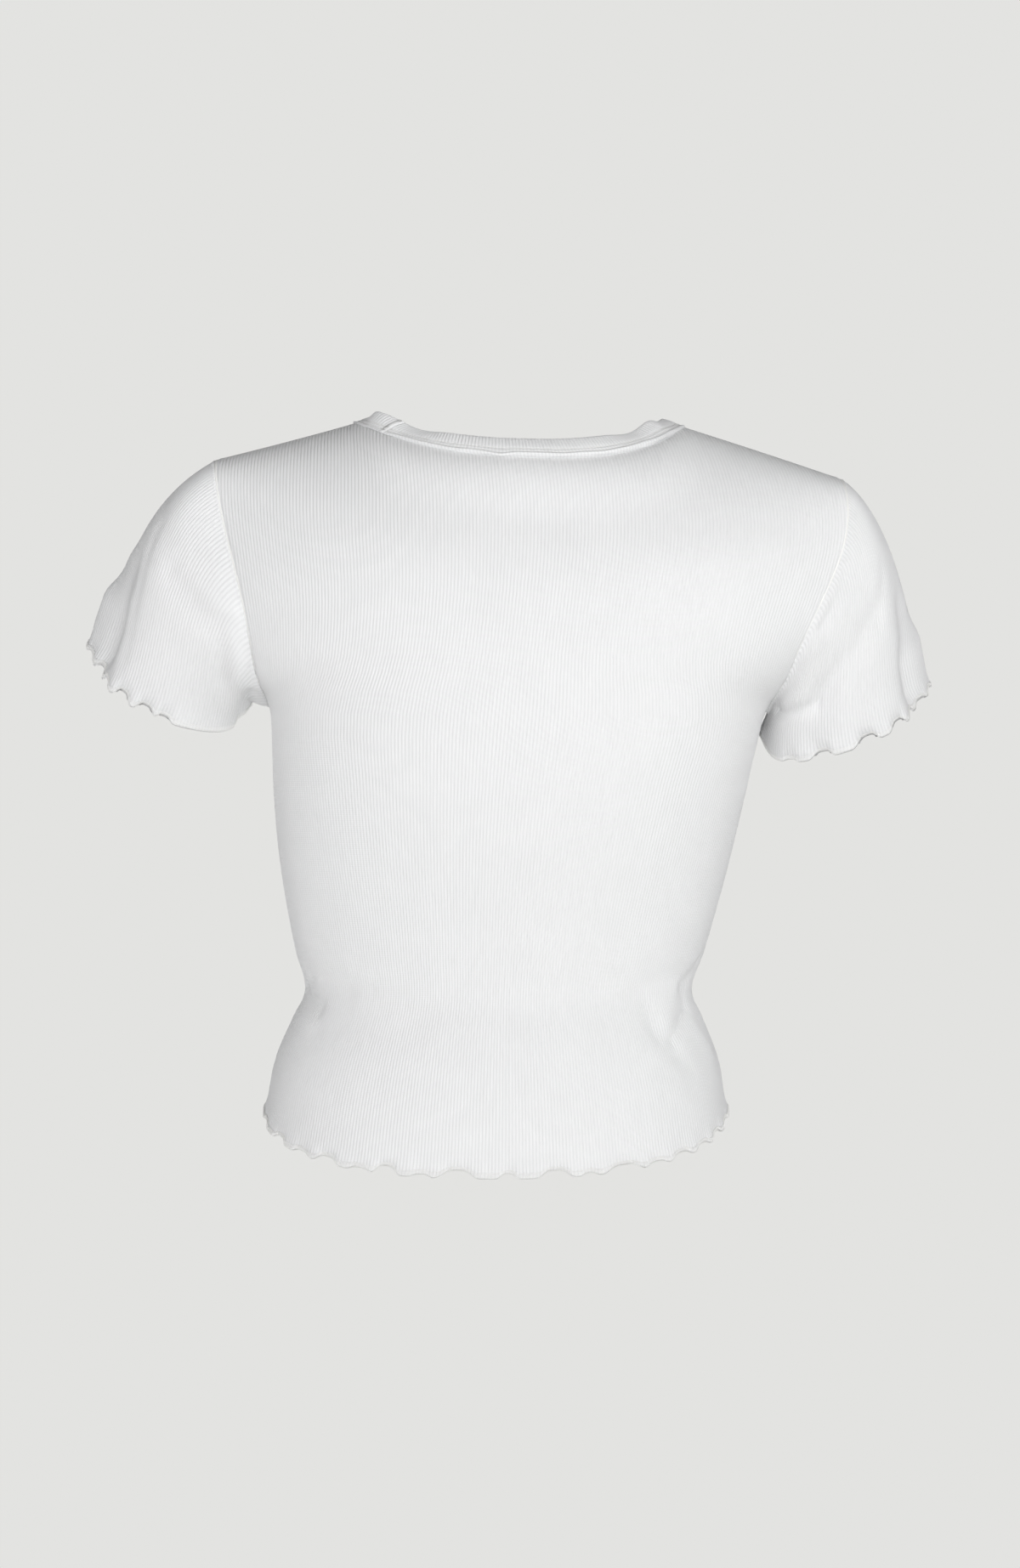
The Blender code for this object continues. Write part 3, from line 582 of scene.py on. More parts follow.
# %% [markdown]
# ## Seams, seen from outside
# Where two pieces are sewn together, right side to right side, both turn in and leave a thin line. Beside it
# the cloth stands up a little over the seam allowance underneath. Along an armhole it is the sleeve's edge,
# eased into the seam, that stands up as a narrow roll.

# %% Valley and ridge beside a seam
SEAM = {
    "columns": ("distance", "spread", "height"),
    "body": ((0, 0.7, -0.3), (2.8, 1.5, 0.2)),
    "sleeve": ((0, 0.5, -0.25), (1.3, 0.75, 0.45)),
}
FLATTENED = (0.8, 1.2 * MM)  # the share of a rib's height pressed flat at a seam, and how far that reaches


def beside_seam(kind, distance):
    """How far a seam moves the outer face this many metres from it, and how much of the ribs is left."""
    lift = np.zeros_like(distance)
    for middle, spread, height in SEAM[kind]:
        lift += height * MM * np.exp(-(((distance / MM - middle) / spread) ** 2))
    return lift, 1 - FLATTENED[0] * np.exp(-((distance / FLATTENED[1]) ** 2))


print("valley", beside_seam("body", np.array([0.0]))[0] / MM, "mm")

# %% [markdown]
# ## The back and the front
# Both panels are cut from the same rib knit. The rows of stitches lie close together where the cloth bends
# most, at the waves, at the waist and round the neckline.

# %% Body panels
PANEL_BANDS = {
    "columns": ("from", "to", "steps"),
    "edge": (0, 1.6, 2),
    "roll": (1.6, 3.2, 4),
    "waves": (3.2, 12, 5),
    "hips": (12, 62, 6),
    "waist": (62, 128, 25),
    "chest": (128, 290, 12),
    "yoke": (290, 430, 13),
    "neck": (430, 472, 7),
    "seam": (472, TOP_CLIMB, 8),
}
# The cloth sinks in under the neckband: how far down, over what spread and how deep, all in mm. From this far
# across, over this many mm, it deepens to the full from this share of it on the left.
UNDER_BAND = (-0.6, 3.6, -1.6)
UNDER_DEEPENS = (-50, 35, 0.4)
NECK_FADE = 8                # ribs over which that fades at the neck's corners
# The oversewn edge, in mm: how far up it reaches, over how much that ends, and how far it stands out. The
# groove above it: how far above, its spread and its depth. Its ribs lose this share of their height.
HEM_ROLL = (2.4, 0.15, 0.4)
HEM_GROOVE = (0.6, 0.45, 0.25)
HEM_FLATTENED = 0.75


def sinking(side, rib, climb):
    """How far the cloth sinks under the neckband, whether it is below it (0 to 1), and how far, in metres."""
    from_top = below_neckline(side, rib, climb * 0 + TOP_CLIMB) - below_neckline(side, rib, climb)
    in_neck = eased((NECK_RIBS - np.abs(rib)) / NECK_FADE)
    below, spread, deep = UNDER_BAND
    start, over, on_left = UNDER_DEEPENS
    deepening = on_left + (1 - on_left) * eased((rib * RIB_PITCH / MM - start) / over)
    sunk = in_neck * deepening * deep * MM * np.exp(-(((from_top - below) / spread) ** 2))
    return sunk, in_neck, from_top * MM


def oversewn(up):
    """How far the oversewn edge stands out this many mm up from it, and how much of the ribs is left."""
    reach, ending, out = HEM_ROLL
    above, spread, groove = HEM_GROOVE
    inside = 1 / (1 + np.exp((up - reach) / ending))
    pinched = np.exp(-(((up - reach - above) / spread) ** 2))
    return (out * inside - groove * pinched) * MM, 1 - HEM_FLATTENED * inside


def panel_outer(side):
    place, hand = panel_middle(side)

    def outer(rib, climb):
        edge = ribs_to_edge(side, climb)
        rib = np.clip(rib, -edge, edge)
        from_side = (edge - np.abs(rib)) * RIB_PITCH
        sunk, in_neck, from_top = sinking(side, rib, climb)
        side_lift, side_ribs = beside_seam("body", from_side)
        top_lift, top_ribs = beside_seam("body", from_top)
        roll, roll_ribs = oversewn(climb)
        lift = RIB_HEIGHT * rib_shape(rib) * side_ribs * top_ribs * roll_ribs
        lift = lift + side_lift + top_lift * (1 - in_neck) + sunk + roll
        return posed(place(rib, climb) + square_to(place, rib, climb, hand) * lift[:, None])

    return outer


def panel_inner(side):
    place, hand = panel_middle(side)

    def inner(rib, climb):
        lift = -WALL - INNER_RIBS * RIB_HEIGHT * (1 - rib_shape(rib)) + sinking(side, rib, climb)[0]
        return posed(place(rib, climb) + square_to(place, rib, climb, hand) * lift[:, None])

    return inner


def make_panel(side):
    def knit(rib, climb):
        return rib, below_neckline(side, rib, climb)

    piece = cloth_wall(side + "_cloth", rib_columns(-HALF_RIBS, HALF_RIBS), spread_rows(PANEL_BANDS),
                       panel_outer(side), panel_inner(side), knit, panel_middle(side)[1])
    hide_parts(side + "_panel")
    return piece


back_cloth, front_cloth = make_panel("back"), make_panel("front")

# %% [markdown]
# ## Sleeves
# A set-in sleeve is sewn to the armhole with its cap eased in. Its ribs run from the cuff up to the armhole,
# and because the arm hangs down they meet the body's ribs on a slant. The cuff is an oversewn waved edge like
# the hem. The sleeve's own seam lies under the arm.

# %% Sleeve forms
SLEEVE_TILT = np.radians(68)         # the cuff's way out, below the horizontal
SLEEVE_FORWARD = 0.38                # and how far it goes forward for each metre
CUFF_CENTRE = (213 * MM, 20 * MM, -170 * MM)
CUFF_HALF_ACROSS = 53 * MM           # from under the arm to the outside
CUFF_HALF_DEEP = 52 * MM             # front to back
SLEEVE_RIBS = 156
SLEEVE_SLANT = 0.075         # the armhole cuts the sleeve's ribs on a slant: how far round, in turns
SLEEVE_HANGS = {
    "columns": ("out", "down", "puff"),
    "left": (8, -3, 1.0),
    "right": (-6, 13, 0.50),
}
CAP_LEAVES = {
    "columns": ("turn", "out", "back", "up", "reach"),
    "underarm": (0.0, 1.0, 0.0, -0.10, 12),
    "back_low": (0.14, 0.80, 0.45, -0.45, 20),
    "back": (0.28, 0.76, 0.42, -0.50, 40),
    "tip": (0.50, 0.86, 0.0, -0.50, 68),
    "front": (0.72, 0.76, -0.42, -0.50, 40),
    "front_low": (0.86, 0.80, -0.45, -0.45, 20),
    "underarm_again": (1.0, 1.0, 0.0, -0.10, 12),
}
UNDERARM_RISE = 9 * MM       # the cuff is drawn up where the sleeve's own seam meets it
UNDERARM_SHARE = 0.055       # as far round it as this, in turns
CUFF_REACH = 0.36            # how far up a sleeve its cuff's straight run is felt, as a share of its length


def along_loop(loop, turn):
    """Points of an evenly spaced loop at these shares of the way round it."""
    shares = np.linspace(0, 1, len(loop))
    return np.stack([np.interp(turn, shares, loop[:, axis]) for axis in range(3)], axis=1)


def armhole_loop():
    """The right armhole from under the arm, up its back, over the tip and down its front, evenly spaced."""
    climb = np.linspace(RINGS["underarm"][0], TOP_CLIMB, FINE)
    edges = {side: bare_panel(side, ribs_to_edge(side, climb), climb) for side in ("back", "front")}
    return evened(np.concatenate([edges["back"], edges["front"][-2::-1]]), FINER)


ARMHOLE = armhole_loop()
print("armhole seam", round(float(np.linalg.norm(np.diff(ARMHOLE, axis=0), axis=1).sum()), 3), "m round")

# %% The sleeve's surface
def sleeve_middle(side):
    """place(turn, climb) of a sleeve, before the pose: turn in thousandths round it from under the arm, by
    the back, and climb in thousandths of the way from the cuff up to the armhole."""
    leaves = table(CAP_LEAVES)
    axis = np.array([np.cos(SLEEVE_TILT), SLEEVE_FORWARD, -np.sin(SLEEVE_TILT)])
    axis /= np.linalg.norm(axis)
    across = np.array([np.sin(SLEEVE_TILT), 0, np.cos(SLEEVE_TILT)])
    out, down, puff = SLEEVE_HANGS[side]
    centre = np.array(CUFF_CENTRE) + np.array([out, 0, -down]) * MM
    deep = np.cross(across, axis)
    mirror = np.array([-1.0, 1, 1]) if side == "left" else np.ones(3)
    hand = -1 if side == "left" else 1
    around = 2 * np.pi * CUFF_HALF_ACROSS / MM

    def plain(turn, climb):
        turn = np.mod(turn / 1000, 1)
        up = np.clip(climb / 1000, 0, 1)[:, None]
        cut = turn + SLEEVE_SLANT * np.sin(2 * np.pi * turn)
        loop = along_loop(ARMHOLE, cut)
        leave = np.stack([through(leaves["turn"], leaves["out"], cut),
                          -through(leaves["turn"], leaves["back"], cut),
                          through(leaves["turn"], leaves["up"], cut)], axis=1)
        leave /= np.linalg.norm(leave, axis=1, keepdims=True)
        reach = through(leaves["turn"], leaves["reach"], cut)[:, None] * MM * puff
        angle = 2 * np.pi * turn
        cuff = (centre - across * CUFF_HALF_ACROSS * np.cos(angle)[:, None]
                - deep * CUFF_HALF_DEEP * np.sin(angle)[:, None])
        risen = np.exp(-((np.minimum(turn, 1 - turn) / UNDERARM_SHARE) ** 2))
        cuff[:, 2] += UNDERARM_RISE * risen
        length = np.linalg.norm(cuff - loop, axis=1, keepdims=True)
        first, second = loop + leave * reach, cuff - axis * length * CUFF_REACH
        return (cuff * (1 - up) ** 3 + 3 * second * up * (1 - up) ** 2
                + 3 * first * up**2 * (1 - up) + loop * up**3) * mirror

    def place(turn, climb):
        points = plain(turn, climb)
        normal = square_to(plain, turn, climb, hand)
        whole = np.linalg.norm(plain(turn, climb * 0) - plain(turn, climb * 0 + 1000), axis=1)
        height = np.clip(climb, 0, 1000) / 1000 * whole
        round_it = (np.mod(turn / 1000, 1) - 0.5) * around
        calm = np.minimum((whole - height) / MM, around / 2 - np.abs(round_it))
        points += normal * folded(side + "_sleeve", round_it, height / MM, calm)[:, None]
        notch, flare = waving(side + "_sleeve", round_it, height, np.minimum(WAVE_ROOT, whole))
        points += normal * (FLARE * flare - NOTCH_IN * notch)[:, None]
        points[:, 2] += NOTCH_LIFT * notch
        return points

    return place, hand


SLEEVE_BANDS = {
    "columns": ("from", "to", "steps"),
    "edge": (0, 40, 9),
    "waves": (40, 90, 4),
    "sleeve": (90, 900, 34),
    "cap": (900, 970, 4),
    "seam": (970, 1000, 8),
}


def sleeve_height(side, turn, climb):
    """How far above the cuff a spot is, and how far below the armhole seam, in metres."""
    place, _ = sleeve_middle(side)
    whole = np.linalg.norm(place(turn, climb * 0 + 1000) - place(turn, climb * 0), axis=1)
    return whole * climb / 1000, whole * (1 - climb / 1000)


def make_sleeve(side):
    place, hand = sleeve_middle(side)
    girth = 2 * np.pi * CUFF_HALF_ACROSS

    def outer(turn, climb):
        height, from_cap = sleeve_height(side, turn, climb)
        from_seam = (0.5 - np.abs(np.mod(turn / 1000, 1) - 0.5)) * girth
        cap_lift, cap_ribs = beside_seam("sleeve", from_cap)
        seam_lift, seam_ribs = beside_seam("body", from_seam)
        roll, roll_ribs = oversewn(height / MM)
        lift = RIB_HEIGHT * rib_shape(turn / 1000 * SLEEVE_RIBS) * cap_ribs * seam_ribs * roll_ribs
        lift = lift + cap_lift + seam_lift + roll
        return posed(place(turn, climb) + square_to(place, turn, climb, hand) * lift[:, None])

    def inner(turn, climb):
        lift = -WALL - INNER_RIBS * RIB_HEIGHT * (1 - rib_shape(turn / 1000 * SLEEVE_RIBS))
        return posed(place(turn, climb) + square_to(place, turn, climb, hand) * lift[:, None])

    def knit(turn, climb):
        return turn / 1000 * SLEEVE_RIBS, sleeve_height(side, turn, climb)[0] / MM

    columns = rib_columns(0, SLEEVE_RIBS) / SLEEVE_RIBS * 1000
    piece = cloth_wall(side + "_sleeve_cloth", columns, spread_rows(SLEEVE_BANDS), outer, inner, knit, hand)
    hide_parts(side + "_sleeve")
    return piece


left_sleeve_cloth, right_sleeve_cloth = make_sleeve("left"), make_sleeve("right")

# %% [markdown]
# ## The neckband
# A strip of the same rib, cut across the knit so that its ribs point to the neck, is folded double round the
# raw neckline. Two rows of stitching hold it. Below them the strip's own folded edge stands up as a narrow
# rim. The band is drawn as one cross-section, from the rim up the outside, over the fold at the top and down
# the inside, which is carried round the neckline.

# %% Neckband form
BAND_RIB_PITCH = 2.2 * MM
BAND_LEANS = {
    "columns": ("turn", "in", "up"),
    "back": (0.0, 0.66, 0.75),
    "right_back": (0.09, 0.70, 0.66),
    "right_dip": (0.13, 0.88, 0.44),
    "right_corner": (0.158, 0.74, 0.60),
    "right": (0.18, 0.90, 0.34),
    "right_turn": (0.208, 0.88, 0.32),
    "right_front": (0.26, 0.94, 0.26),
    "front": (0.5, 0.62, 0.78),
    "left_front": (0.74, 0.80, 0.55),
    "left": (0.80, 0.92, 0.36),
    "left_corner": (0.842, 0.48, 0.86),
    "left_dip": (0.875, 0.80, 0.52),
    "left_back": (0.92, 0.67, 0.73),
    "back_again": (1.0, 0.66, 0.75),
}
BAND_SECTION = {
    "columns": ("up", "out", "ribs"),         # mm above the seam, mm out of its middle, and the ribs' height
    "rim_under": (-1.6, -0.4, 0.0),
    "rim_low": (-2.1, 0.6, 0.0),
    "rim_edge": (-1.8, 1.4, 0.1),
    "rim": (-1.2, 2.0, 0.2),
    "rim_top": (-0.3, 1.7, 0.2),
    "lower_groove_side": (0.4, 1.2, 0.4),
    "lower_groove": (0.9, 0.8, 0.3),
    "between_low": (1.4, 1.15, 0.6),
    "between": (2.1, 1.25, 0.7),
    "between_high": (2.8, 1.15, 0.6),
    "upper_groove": (3.4, 0.8, 0.3),
    "upper_groove_side": (4.0, 1.15, 0.8),
    "low": (5.2, 1.3, 1.2),
    "middle_low": (7.0, 1.3, 1.3),
    "middle": (9.0, 1.25, 1.3),
    "high": (10.8, 1.15, 1.3),
    "fold_low": (11.8, 0.95, 1.2),
    "fold_out": (12.5, 0.5, 1.0),
    "fold_top": (12.9, -0.1, 1.0),
    "fold_in": (12.5, -0.9, 1.0),
    "inside_high": (11.6, -1.5, 1.0),
    "inside_middle": (8.6, -1.7, 1.0),
    "inside_low": (5.0, -1.7, 1.0),
    "inside_stitched": (2.2, -1.5, 0.4),
    "inside_edge": (-1.0, -1.6, 0.2),
    "inside_under": (-1.9, -1.1, 0.0),
    "rim_under_again": (-1.6, -0.4, 0.0),
}
BAND_TOP = 12.9              # mm
BAND_STANDS = 0.9            # mm from the neckline up to the seam


def neck_loop():
    """The neckline from the middle of the back, by the right shoulder, to the front and round again."""
    ribs = NECK_RIBS * np.sin(np.linspace(0, np.pi / 2, FINE))
    top = np.full(len(ribs), float(TOP_CLIMB))
    quarter = {side: bare_panel(side, ribs, below_neckline(side, ribs, top)) for side in ("back", "front")}
    half = np.concatenate([quarter["back"], quarter["front"][-2::-1]])
    return evened(np.concatenate([half, half[-2::-1] * np.array([-1, 1, 1])]), FINER)


NECK = neck_loop()
BAND_ROUND = np.linalg.norm(np.diff(NECK, axis=0), axis=1).sum()
BAND_RIBS = round(BAND_ROUND / BAND_RIB_PITCH)
print("neckband", round(float(BAND_ROUND), 3), "m round, with", BAND_RIBS, "ribs")

# %% [markdown]
# The band's two ends are joined beside the left shoulder. The join is a short seam across the band. The ribs
# beside it fan out, because the band was pulled round the curve while it was sewn.

# %% Neckband surface
JOIN_AT = 0.851              # how far round the join is, in turns from the middle of the back
FANS = {
    "columns": ("turn", "spread", "slant"),    # how far round, over how much, and the mm the ribs' tops lean
    "beside_join": (0.838, 0.036, 9.0),
    "right_corner": (0.165, 0.03, -3.0),
}
JOIN_RIDGE = (1.4, 0.6)          # the join's half width, and how far it stands out, in mm
JOIN_GROOVE = (2.1, 0.6, 0.5)    # the grooves beside it: how far away, their spread and their depth, in mm
JOIN_PRESSED = 1.6               # the ribs are pressed flat this many mm to either side
OUTSIDE = 0.45                   # the strip's outside is this many mm out of its middle or more
PUCKER = (0.975, 0.010, -1.5)    # the V in the back's middle: how far round, its spread, and how many mm down
RIPPLE = (23, 5, 0.35)           # the rim's ripples in a turn, their swells in it, and their height in mm
LOWERED_BELOW = 5                # mm up, where the pucker and the ripples have died away
TURN_STEP = 0.0004               # turns to either side of a place, to find how the band faces there


def band_place(turn, up):
    """Where a spot of the strip's middle is: turn from 0 to 1 by the right, and up in mm from the seam."""
    leans, fans = table(BAND_LEANS), table(FANS)
    for middle, spread, slant in zip(fans["turn"], fans["spread"], fans["slant"]):
        away = (np.mod(turn, 1) - middle) / spread
        turn = turn + slant * MM / BAND_ROUND * up / BAND_TOP * np.exp(-(away**2))
    around = np.mod(turn, 1)
    loop = along_loop(NECK, around)
    inward = (NECK.mean(axis=0) - loop) * np.array([1, 1, 0])
    inward /= np.linalg.norm(inward, axis=1, keepdims=True)
    way = inward * through(leans["turn"], leans["in"], around)[:, None]
    way[:, 2] = through(leans["turn"], leans["up"], around)
    way /= np.linalg.norm(way, axis=1, keepdims=True)
    return loop + way * (up + BAND_STANDS)[:, None] * MM


def band_facing(turn, up):
    ahead = band_place(turn + TURN_STEP, up * 0) - band_place(turn - TURN_STEP, up * 0)
    rise = band_place(turn, up + 1) - band_place(turn, up - 1)
    normal = np.cross(ahead, rise)
    return normal / np.linalg.norm(normal, axis=1, keepdims=True)


def band_surface(turn, row):
    """A spot on the band's cross-section: row counts the rows of its table."""
    section = table(BAND_SECTION)
    rows = np.arange(len(section["up"]))
    up, out, ribs = (np.interp(row, rows, section[word]) for word in ("up", "out", "ribs"))
    round_it = np.mod(turn, 1)
    from_join = np.abs(round_it - JOIN_AT) * BAND_ROUND / MM
    half, high = JOIN_RIDGE
    beside, spread, deep = JOIN_GROOVE
    join = high * np.exp(-((from_join / half) ** 4)) - deep * np.exp(-(((from_join - beside) / spread) ** 2))
    outer = np.where(out > OUTSIDE, 1.0, 0.0)
    pucker = PUCKER[2] * np.exp(-(((round_it - PUCKER[0]) / PUCKER[1]) ** 2))
    ripples, swells, ripple_height = RIPPLE
    ripple = ripple_height * np.sin(2 * np.pi * ripples * turn) * np.sin(2 * np.pi * swells * turn)
    lowered = (pucker + ripple) * eased((LOWERED_BELOW - up) / LOWERED_BELOW) * outer
    smooth = np.exp(-((from_join / JOIN_PRESSED) ** 4))
    raised = RIB_HEIGHT / MM * ribs * (rib_shape(turn * BAND_RIBS) - 0.5) * (1 - smooth * outer)
    lift = out + raised + join * outer
    return posed(band_place(turn, up + lowered) + band_facing(turn, up) * lift[:, None] * MM)


def band_knit(turn, row):
    section = table(BAND_SECTION)
    length = np.concatenate([[0], np.cumsum(np.hypot(np.diff(section["up"]), np.diff(section["out"])))])
    return turn * BAND_RIBS, np.interp(row, np.arange(len(length)), length)


def make_band():
    columns = rib_columns(0, BAND_RIBS) / BAND_RIBS
    rows = np.arange(len(table(BAND_SECTION)["up"]), dtype=float)
    piece = cloth_wall("neckband_cloth", columns, rows, band_surface, None, band_knit, 1)
    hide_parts("neckband")
    return piece


neckband_cloth = make_band()

# %% [markdown]
# ## Thread
# Sewing thread is a curve with a round bevel. A helper carries each kind of stitch along a line of the cloth.
# It asks a surface function for the spot, for the way up the cloth and for the way out of it, so the thread
# follows every wave and fold.

# %% Thread helpers
THREAD = 0.19 * MM


def thread(name, lines, radius=THREAD, roundness=0):
    """One object of thread that runs through each line of points."""
    curve = bpy.data.curves.new(name, "CURVE")
    curve.dimensions = "3D"
    curve.bevel_depth = radius
    curve.bevel_resolution = roundness
    for points in lines:
        run = curve.splines.new("POLY")
        run.points.add(len(points) - 1)
        run.points.foreach_set("co", np.column_stack([points, np.ones(len(points))]).ravel())
    drawn = bpy.data.objects.new(name + "_line", curve)
    PIECES.objects.link(drawn)
    data = bpy.data.meshes.new_from_object(drawn.evaluated_get(bpy.context.evaluated_depsgraph_get()))
    bpy.data.objects.remove(drawn)
    data.name = name
    data.shade_smooth()
    piece = bpy.data.objects.new(name, data)
    PIECES.objects.link(piece)
    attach(piece, "root")
    print(name, len(data.polygons), "faces of thread")
    return piece


def unit(ways):
    return ways / np.maximum(np.linalg.norm(ways, axis=1, keepdims=True), 1e-9)


def panel_surface(side):
    """surface(share, up, lift): a spot of a panel this share of the way across it, mm up and metres out."""
    place, hand = panel_middle(side)

    def surface(share, up, lift):
        rib = (2 * share - 1) * ribs_to_edge(side, up)
        return posed(place(rib, up) + square_to(place, rib, up, hand) * lift[:, None])

    return surface


def sleeve_surface(side):
    place, hand = sleeve_middle(side)

    def surface(share, up, lift):
        turn = share * 1000
        whole = sum(sleeve_height(side, turn, turn * 0))
        climb = up * MM / whole * 1000
        return posed(place(turn, climb) + square_to(place, turn, climb, hand) * lift[:, None])

    return surface


def band_line(share, up, lift):
    return posed(band_place(share, up) + band_facing(share, up) * lift[:, None])


def length_along(surface, up):
    share = np.linspace(0, 1, 2001)
    points = surface(share, np.full(2001, float(up)), np.zeros(2001))
    return np.linalg.norm(np.diff(points, axis=0), axis=1).sum()


# %% [markdown]
# ## Oversewn edges
# The hem and cuffs are bound by an overlock machine set to a short stitch: its thread winds round and round
# the edge, less than a millimetre apart. So the thread here is a spring drawn round the edge, with rounded
# corners that follow the cloth. A needle thread runs beside it, just under three millimetres up.

# %% Oversewn hem and cuffs
TURN_PITCH = 0.85 * MM
EDGE_CORE = (0.95, -0.45)    # the middle of the spring: mm up from the edge and mm out of the cloth's middle
EDGE_RADII = (1.25, 1.12)    # of the spring, up and out, in mm
EDGE_CORNERS = 0.55          # 1 makes the spring an ellipse, and less makes its corners squarer
SPRING_POINTS = 8            # in each turn of it
NEEDLE_UP = 2.7              # mm
NEEDLE_RISE = (0, 0.75)      # mm out of the cloth's middle, where a stitch dips in and where it stands
STITCH = 2.4 * MM
STITCH_POINTS = 6            # in each stitch
STANDING = 1.6               # how quickly a stitch rises to its full height, 1 being the slowest


def spring_round(surface):
    turns = length_along(surface, 0) / TURN_PITCH
    share = np.linspace(0, 1, int(turns * SPRING_POINTS))
    angle = 2 * np.pi * turns * share
    up, lift = np.full(len(share), EDGE_CORE[0]), np.full(len(share), EDGE_CORE[1] * MM)
    core = surface(share, up, lift)
    rise, out = unit(surface(share, up + 1, lift) - core), unit(surface(share, up, lift + MM) - core)
    high, wide = (np.sign(wave) * np.abs(wave) ** EDGE_CORNERS for wave in (np.cos(angle), np.sin(angle)))
    return core + (rise * (EDGE_RADII[0] * high)[:, None] + out * (EDGE_RADII[1] * wide)[:, None]) * MM


def running_stitch(surface, up, low, high, first=0.0, last=1.0):
    """A line of stitches that dip into the cloth at low and stand at high, in mm."""
    count = length_along(surface, up) * (last - first) / STITCH
    share = np.linspace(first, last, int(count * STITCH_POINTS))
    along = np.mod((share - first) / (last - first) * count, 1)
    lift = low + (high - low) * np.minimum(1, STANDING * np.sin(np.pi * along))
    return surface(share, np.full(len(share), float(up)), lift * MM)


def oversewing(name, surface):
    return thread(name, [spring_round(surface), running_stitch(surface, NEEDLE_UP, *NEEDLE_RISE)])


edge_threads = {side: oversewing(side + "_hem_thread", panel_surface(side)) for side in ("back", "front")}
edge_threads |= {side: oversewing(side + "_cuff_thread", sleeve_surface(side)) for side in ("left", "right")}

# %% [markdown]
# ## Stitching of the neckband
# The band is held by a twin-needle stitch: two rows of straight stitches outside, and inside a looper thread
# that zigzags between them and covers the raw edge.

# %% Twin-needle stitching
TWIN_ROWS = (0.9, 3.4)       # mm up from the seam
TWIN_RISE = (0.45, 1.2)      # mm out of the strip's middle, where a stitch dips in and where it stands
LOOPER = (-1.85, 1.3 * MM)   # mm out of the strip's middle, and its pitch
JOIN_STITCH = (2.6, 0.32)    # width and pitch in mm
JOIN_ENDS = (-1.0, 0.6)      # mm up where it starts, and mm below the band's top where it ends
JOIN_LIFT = 1.85 * MM


def looper(surface, rows, lift, pitch):
    count = int(length_along(surface, rows[0]) / pitch) * 2
    share = np.linspace(0, 1, count)
    up = np.where(np.arange(count) % 2, rows[1], rows[0]).astype(float)
    return surface(share, up, np.full(count, lift * MM))


def join_stitch(width, pitch):
    """Close zigzags up the band's join, width mm across."""
    count = int(BAND_TOP / pitch)
    up = np.linspace(JOIN_ENDS[0], BAND_TOP - JOIN_ENDS[1], count)
    turn = JOIN_AT + np.where(np.arange(count) % 2, 0.5, -0.5) * width * MM / BAND_ROUND
    return band_line(turn, up, np.full(count, JOIN_LIFT))


band_thread = thread("neckband_thread", [
    *(running_stitch(band_line, up, *TWIN_RISE) for up in TWIN_ROWS),
    looper(band_line, TWIN_ROWS, *LOOPER),
    join_stitch(*JOIN_STITCH),
])

# %% [markdown]
# ## Seams, seen from inside
# Inside a t-shirt the seams show as narrow strips: both pieces' edges lie together and are overlocked. They
# are pressed to the back at the side seams and shoulders, and to the body at the armholes. Each strip is a
# grid over the panel's inner face, raised by two thicknesses of cloth, with a thread that zigzags over it.

# %% Seam allowances
ALLOWANCE = 5.5              # mm wide
ALLOWANCE_STEP = 2.5 * MM    # along the seam
RUFFLE = (0.15, 2.2)         # the strip's ruffles: their height in mm, and how many steps each takes
SIDE_CLIMB = (1, 280)        # mm up the cloth, from near the hem to the armhole
ARMHOLE_CLIMB = (282, 478)   # and from there to the shoulder
SHOULDER_BELOW = 0.2         # mm from the top of the cloth down to the strip's seam
OVERLOCK = (0.6, 0.2)        # its zigzag, in mm: from this far across, to this far over the raw edge
OVERLOCK_LOOP = (-2.95, 1.5 * MM)    # mm out of the cloth's middle, and its pitch
ALLOWANCE_ROWS = {
    "columns": ("across", "depth"),           # shares of the width, and mm in from the cloth's middle
    "seam": (0.0, 0.6),
    "folded": (0.06, 1.9),
    "near": (0.3, 2.6),
    "raw": (0.9, 2.7),
    "raw_edge": (1.0, 2.2),
    "under": (0.9, 1.3),
    "under_seam": (0.1, 0.9),
    "seam_again": (0.0, 0.6),
}


def allowance_surface(side, hand_side, first, last):
    """surface(share, across, lift) along a panel's side edge between two climbs. across is mm in from it."""
    place, hand = panel_middle(side)

    def surface(share, across, lift):
        climb = first + (last - first) * share
        rib = hand_side * (ribs_to_edge(side, climb) - across * MM / RIB_PITCH)
        return posed(place(rib, climb) + square_to(place, rib, climb, hand) * lift[:, None])

    return surface


def shoulder_surface(side, hand_side):
    place, hand = panel_middle(side)

    def surface(share, across, lift):
        rib = hand_side * (NECK_RIBS + (TOP_EDGE_RIBS - NECK_RIBS) * share)
        climb = TOP_CLIMB - SHOULDER_BELOW - across
        return posed(place(rib, climb) + square_to(place, rib, climb, hand) * lift[:, None])

    return surface


def allowance(name, surface, hand):
    section = table(ALLOWANCE_ROWS)
    count = int(length_along(surface, 0) / ALLOWANCE_STEP)

    def outer(share, row):
        rows = np.arange(len(section["across"]))
        across, depth = (np.interp(row, rows, section[word]) for word in ("across", "depth"))
        ruffle = RUFFLE[0] * np.sin(2 * np.pi * share * count / RUFFLE[1])
        return surface(share, across * ALLOWANCE, -(depth + ruffle) * MM)

    def knit(share, row):
        return share * count, row

    strip = cloth_wall(name, np.linspace(0, 1, count + 1), np.arange(len(section["across"]), dtype=float),
                       outer, None, knit, hand)
    zigzag = looper(surface, (OVERLOCK[0], ALLOWANCE + OVERLOCK[1]), *OVERLOCK_LOOP)
    return strip, thread(name + "_thread", [zigzag])


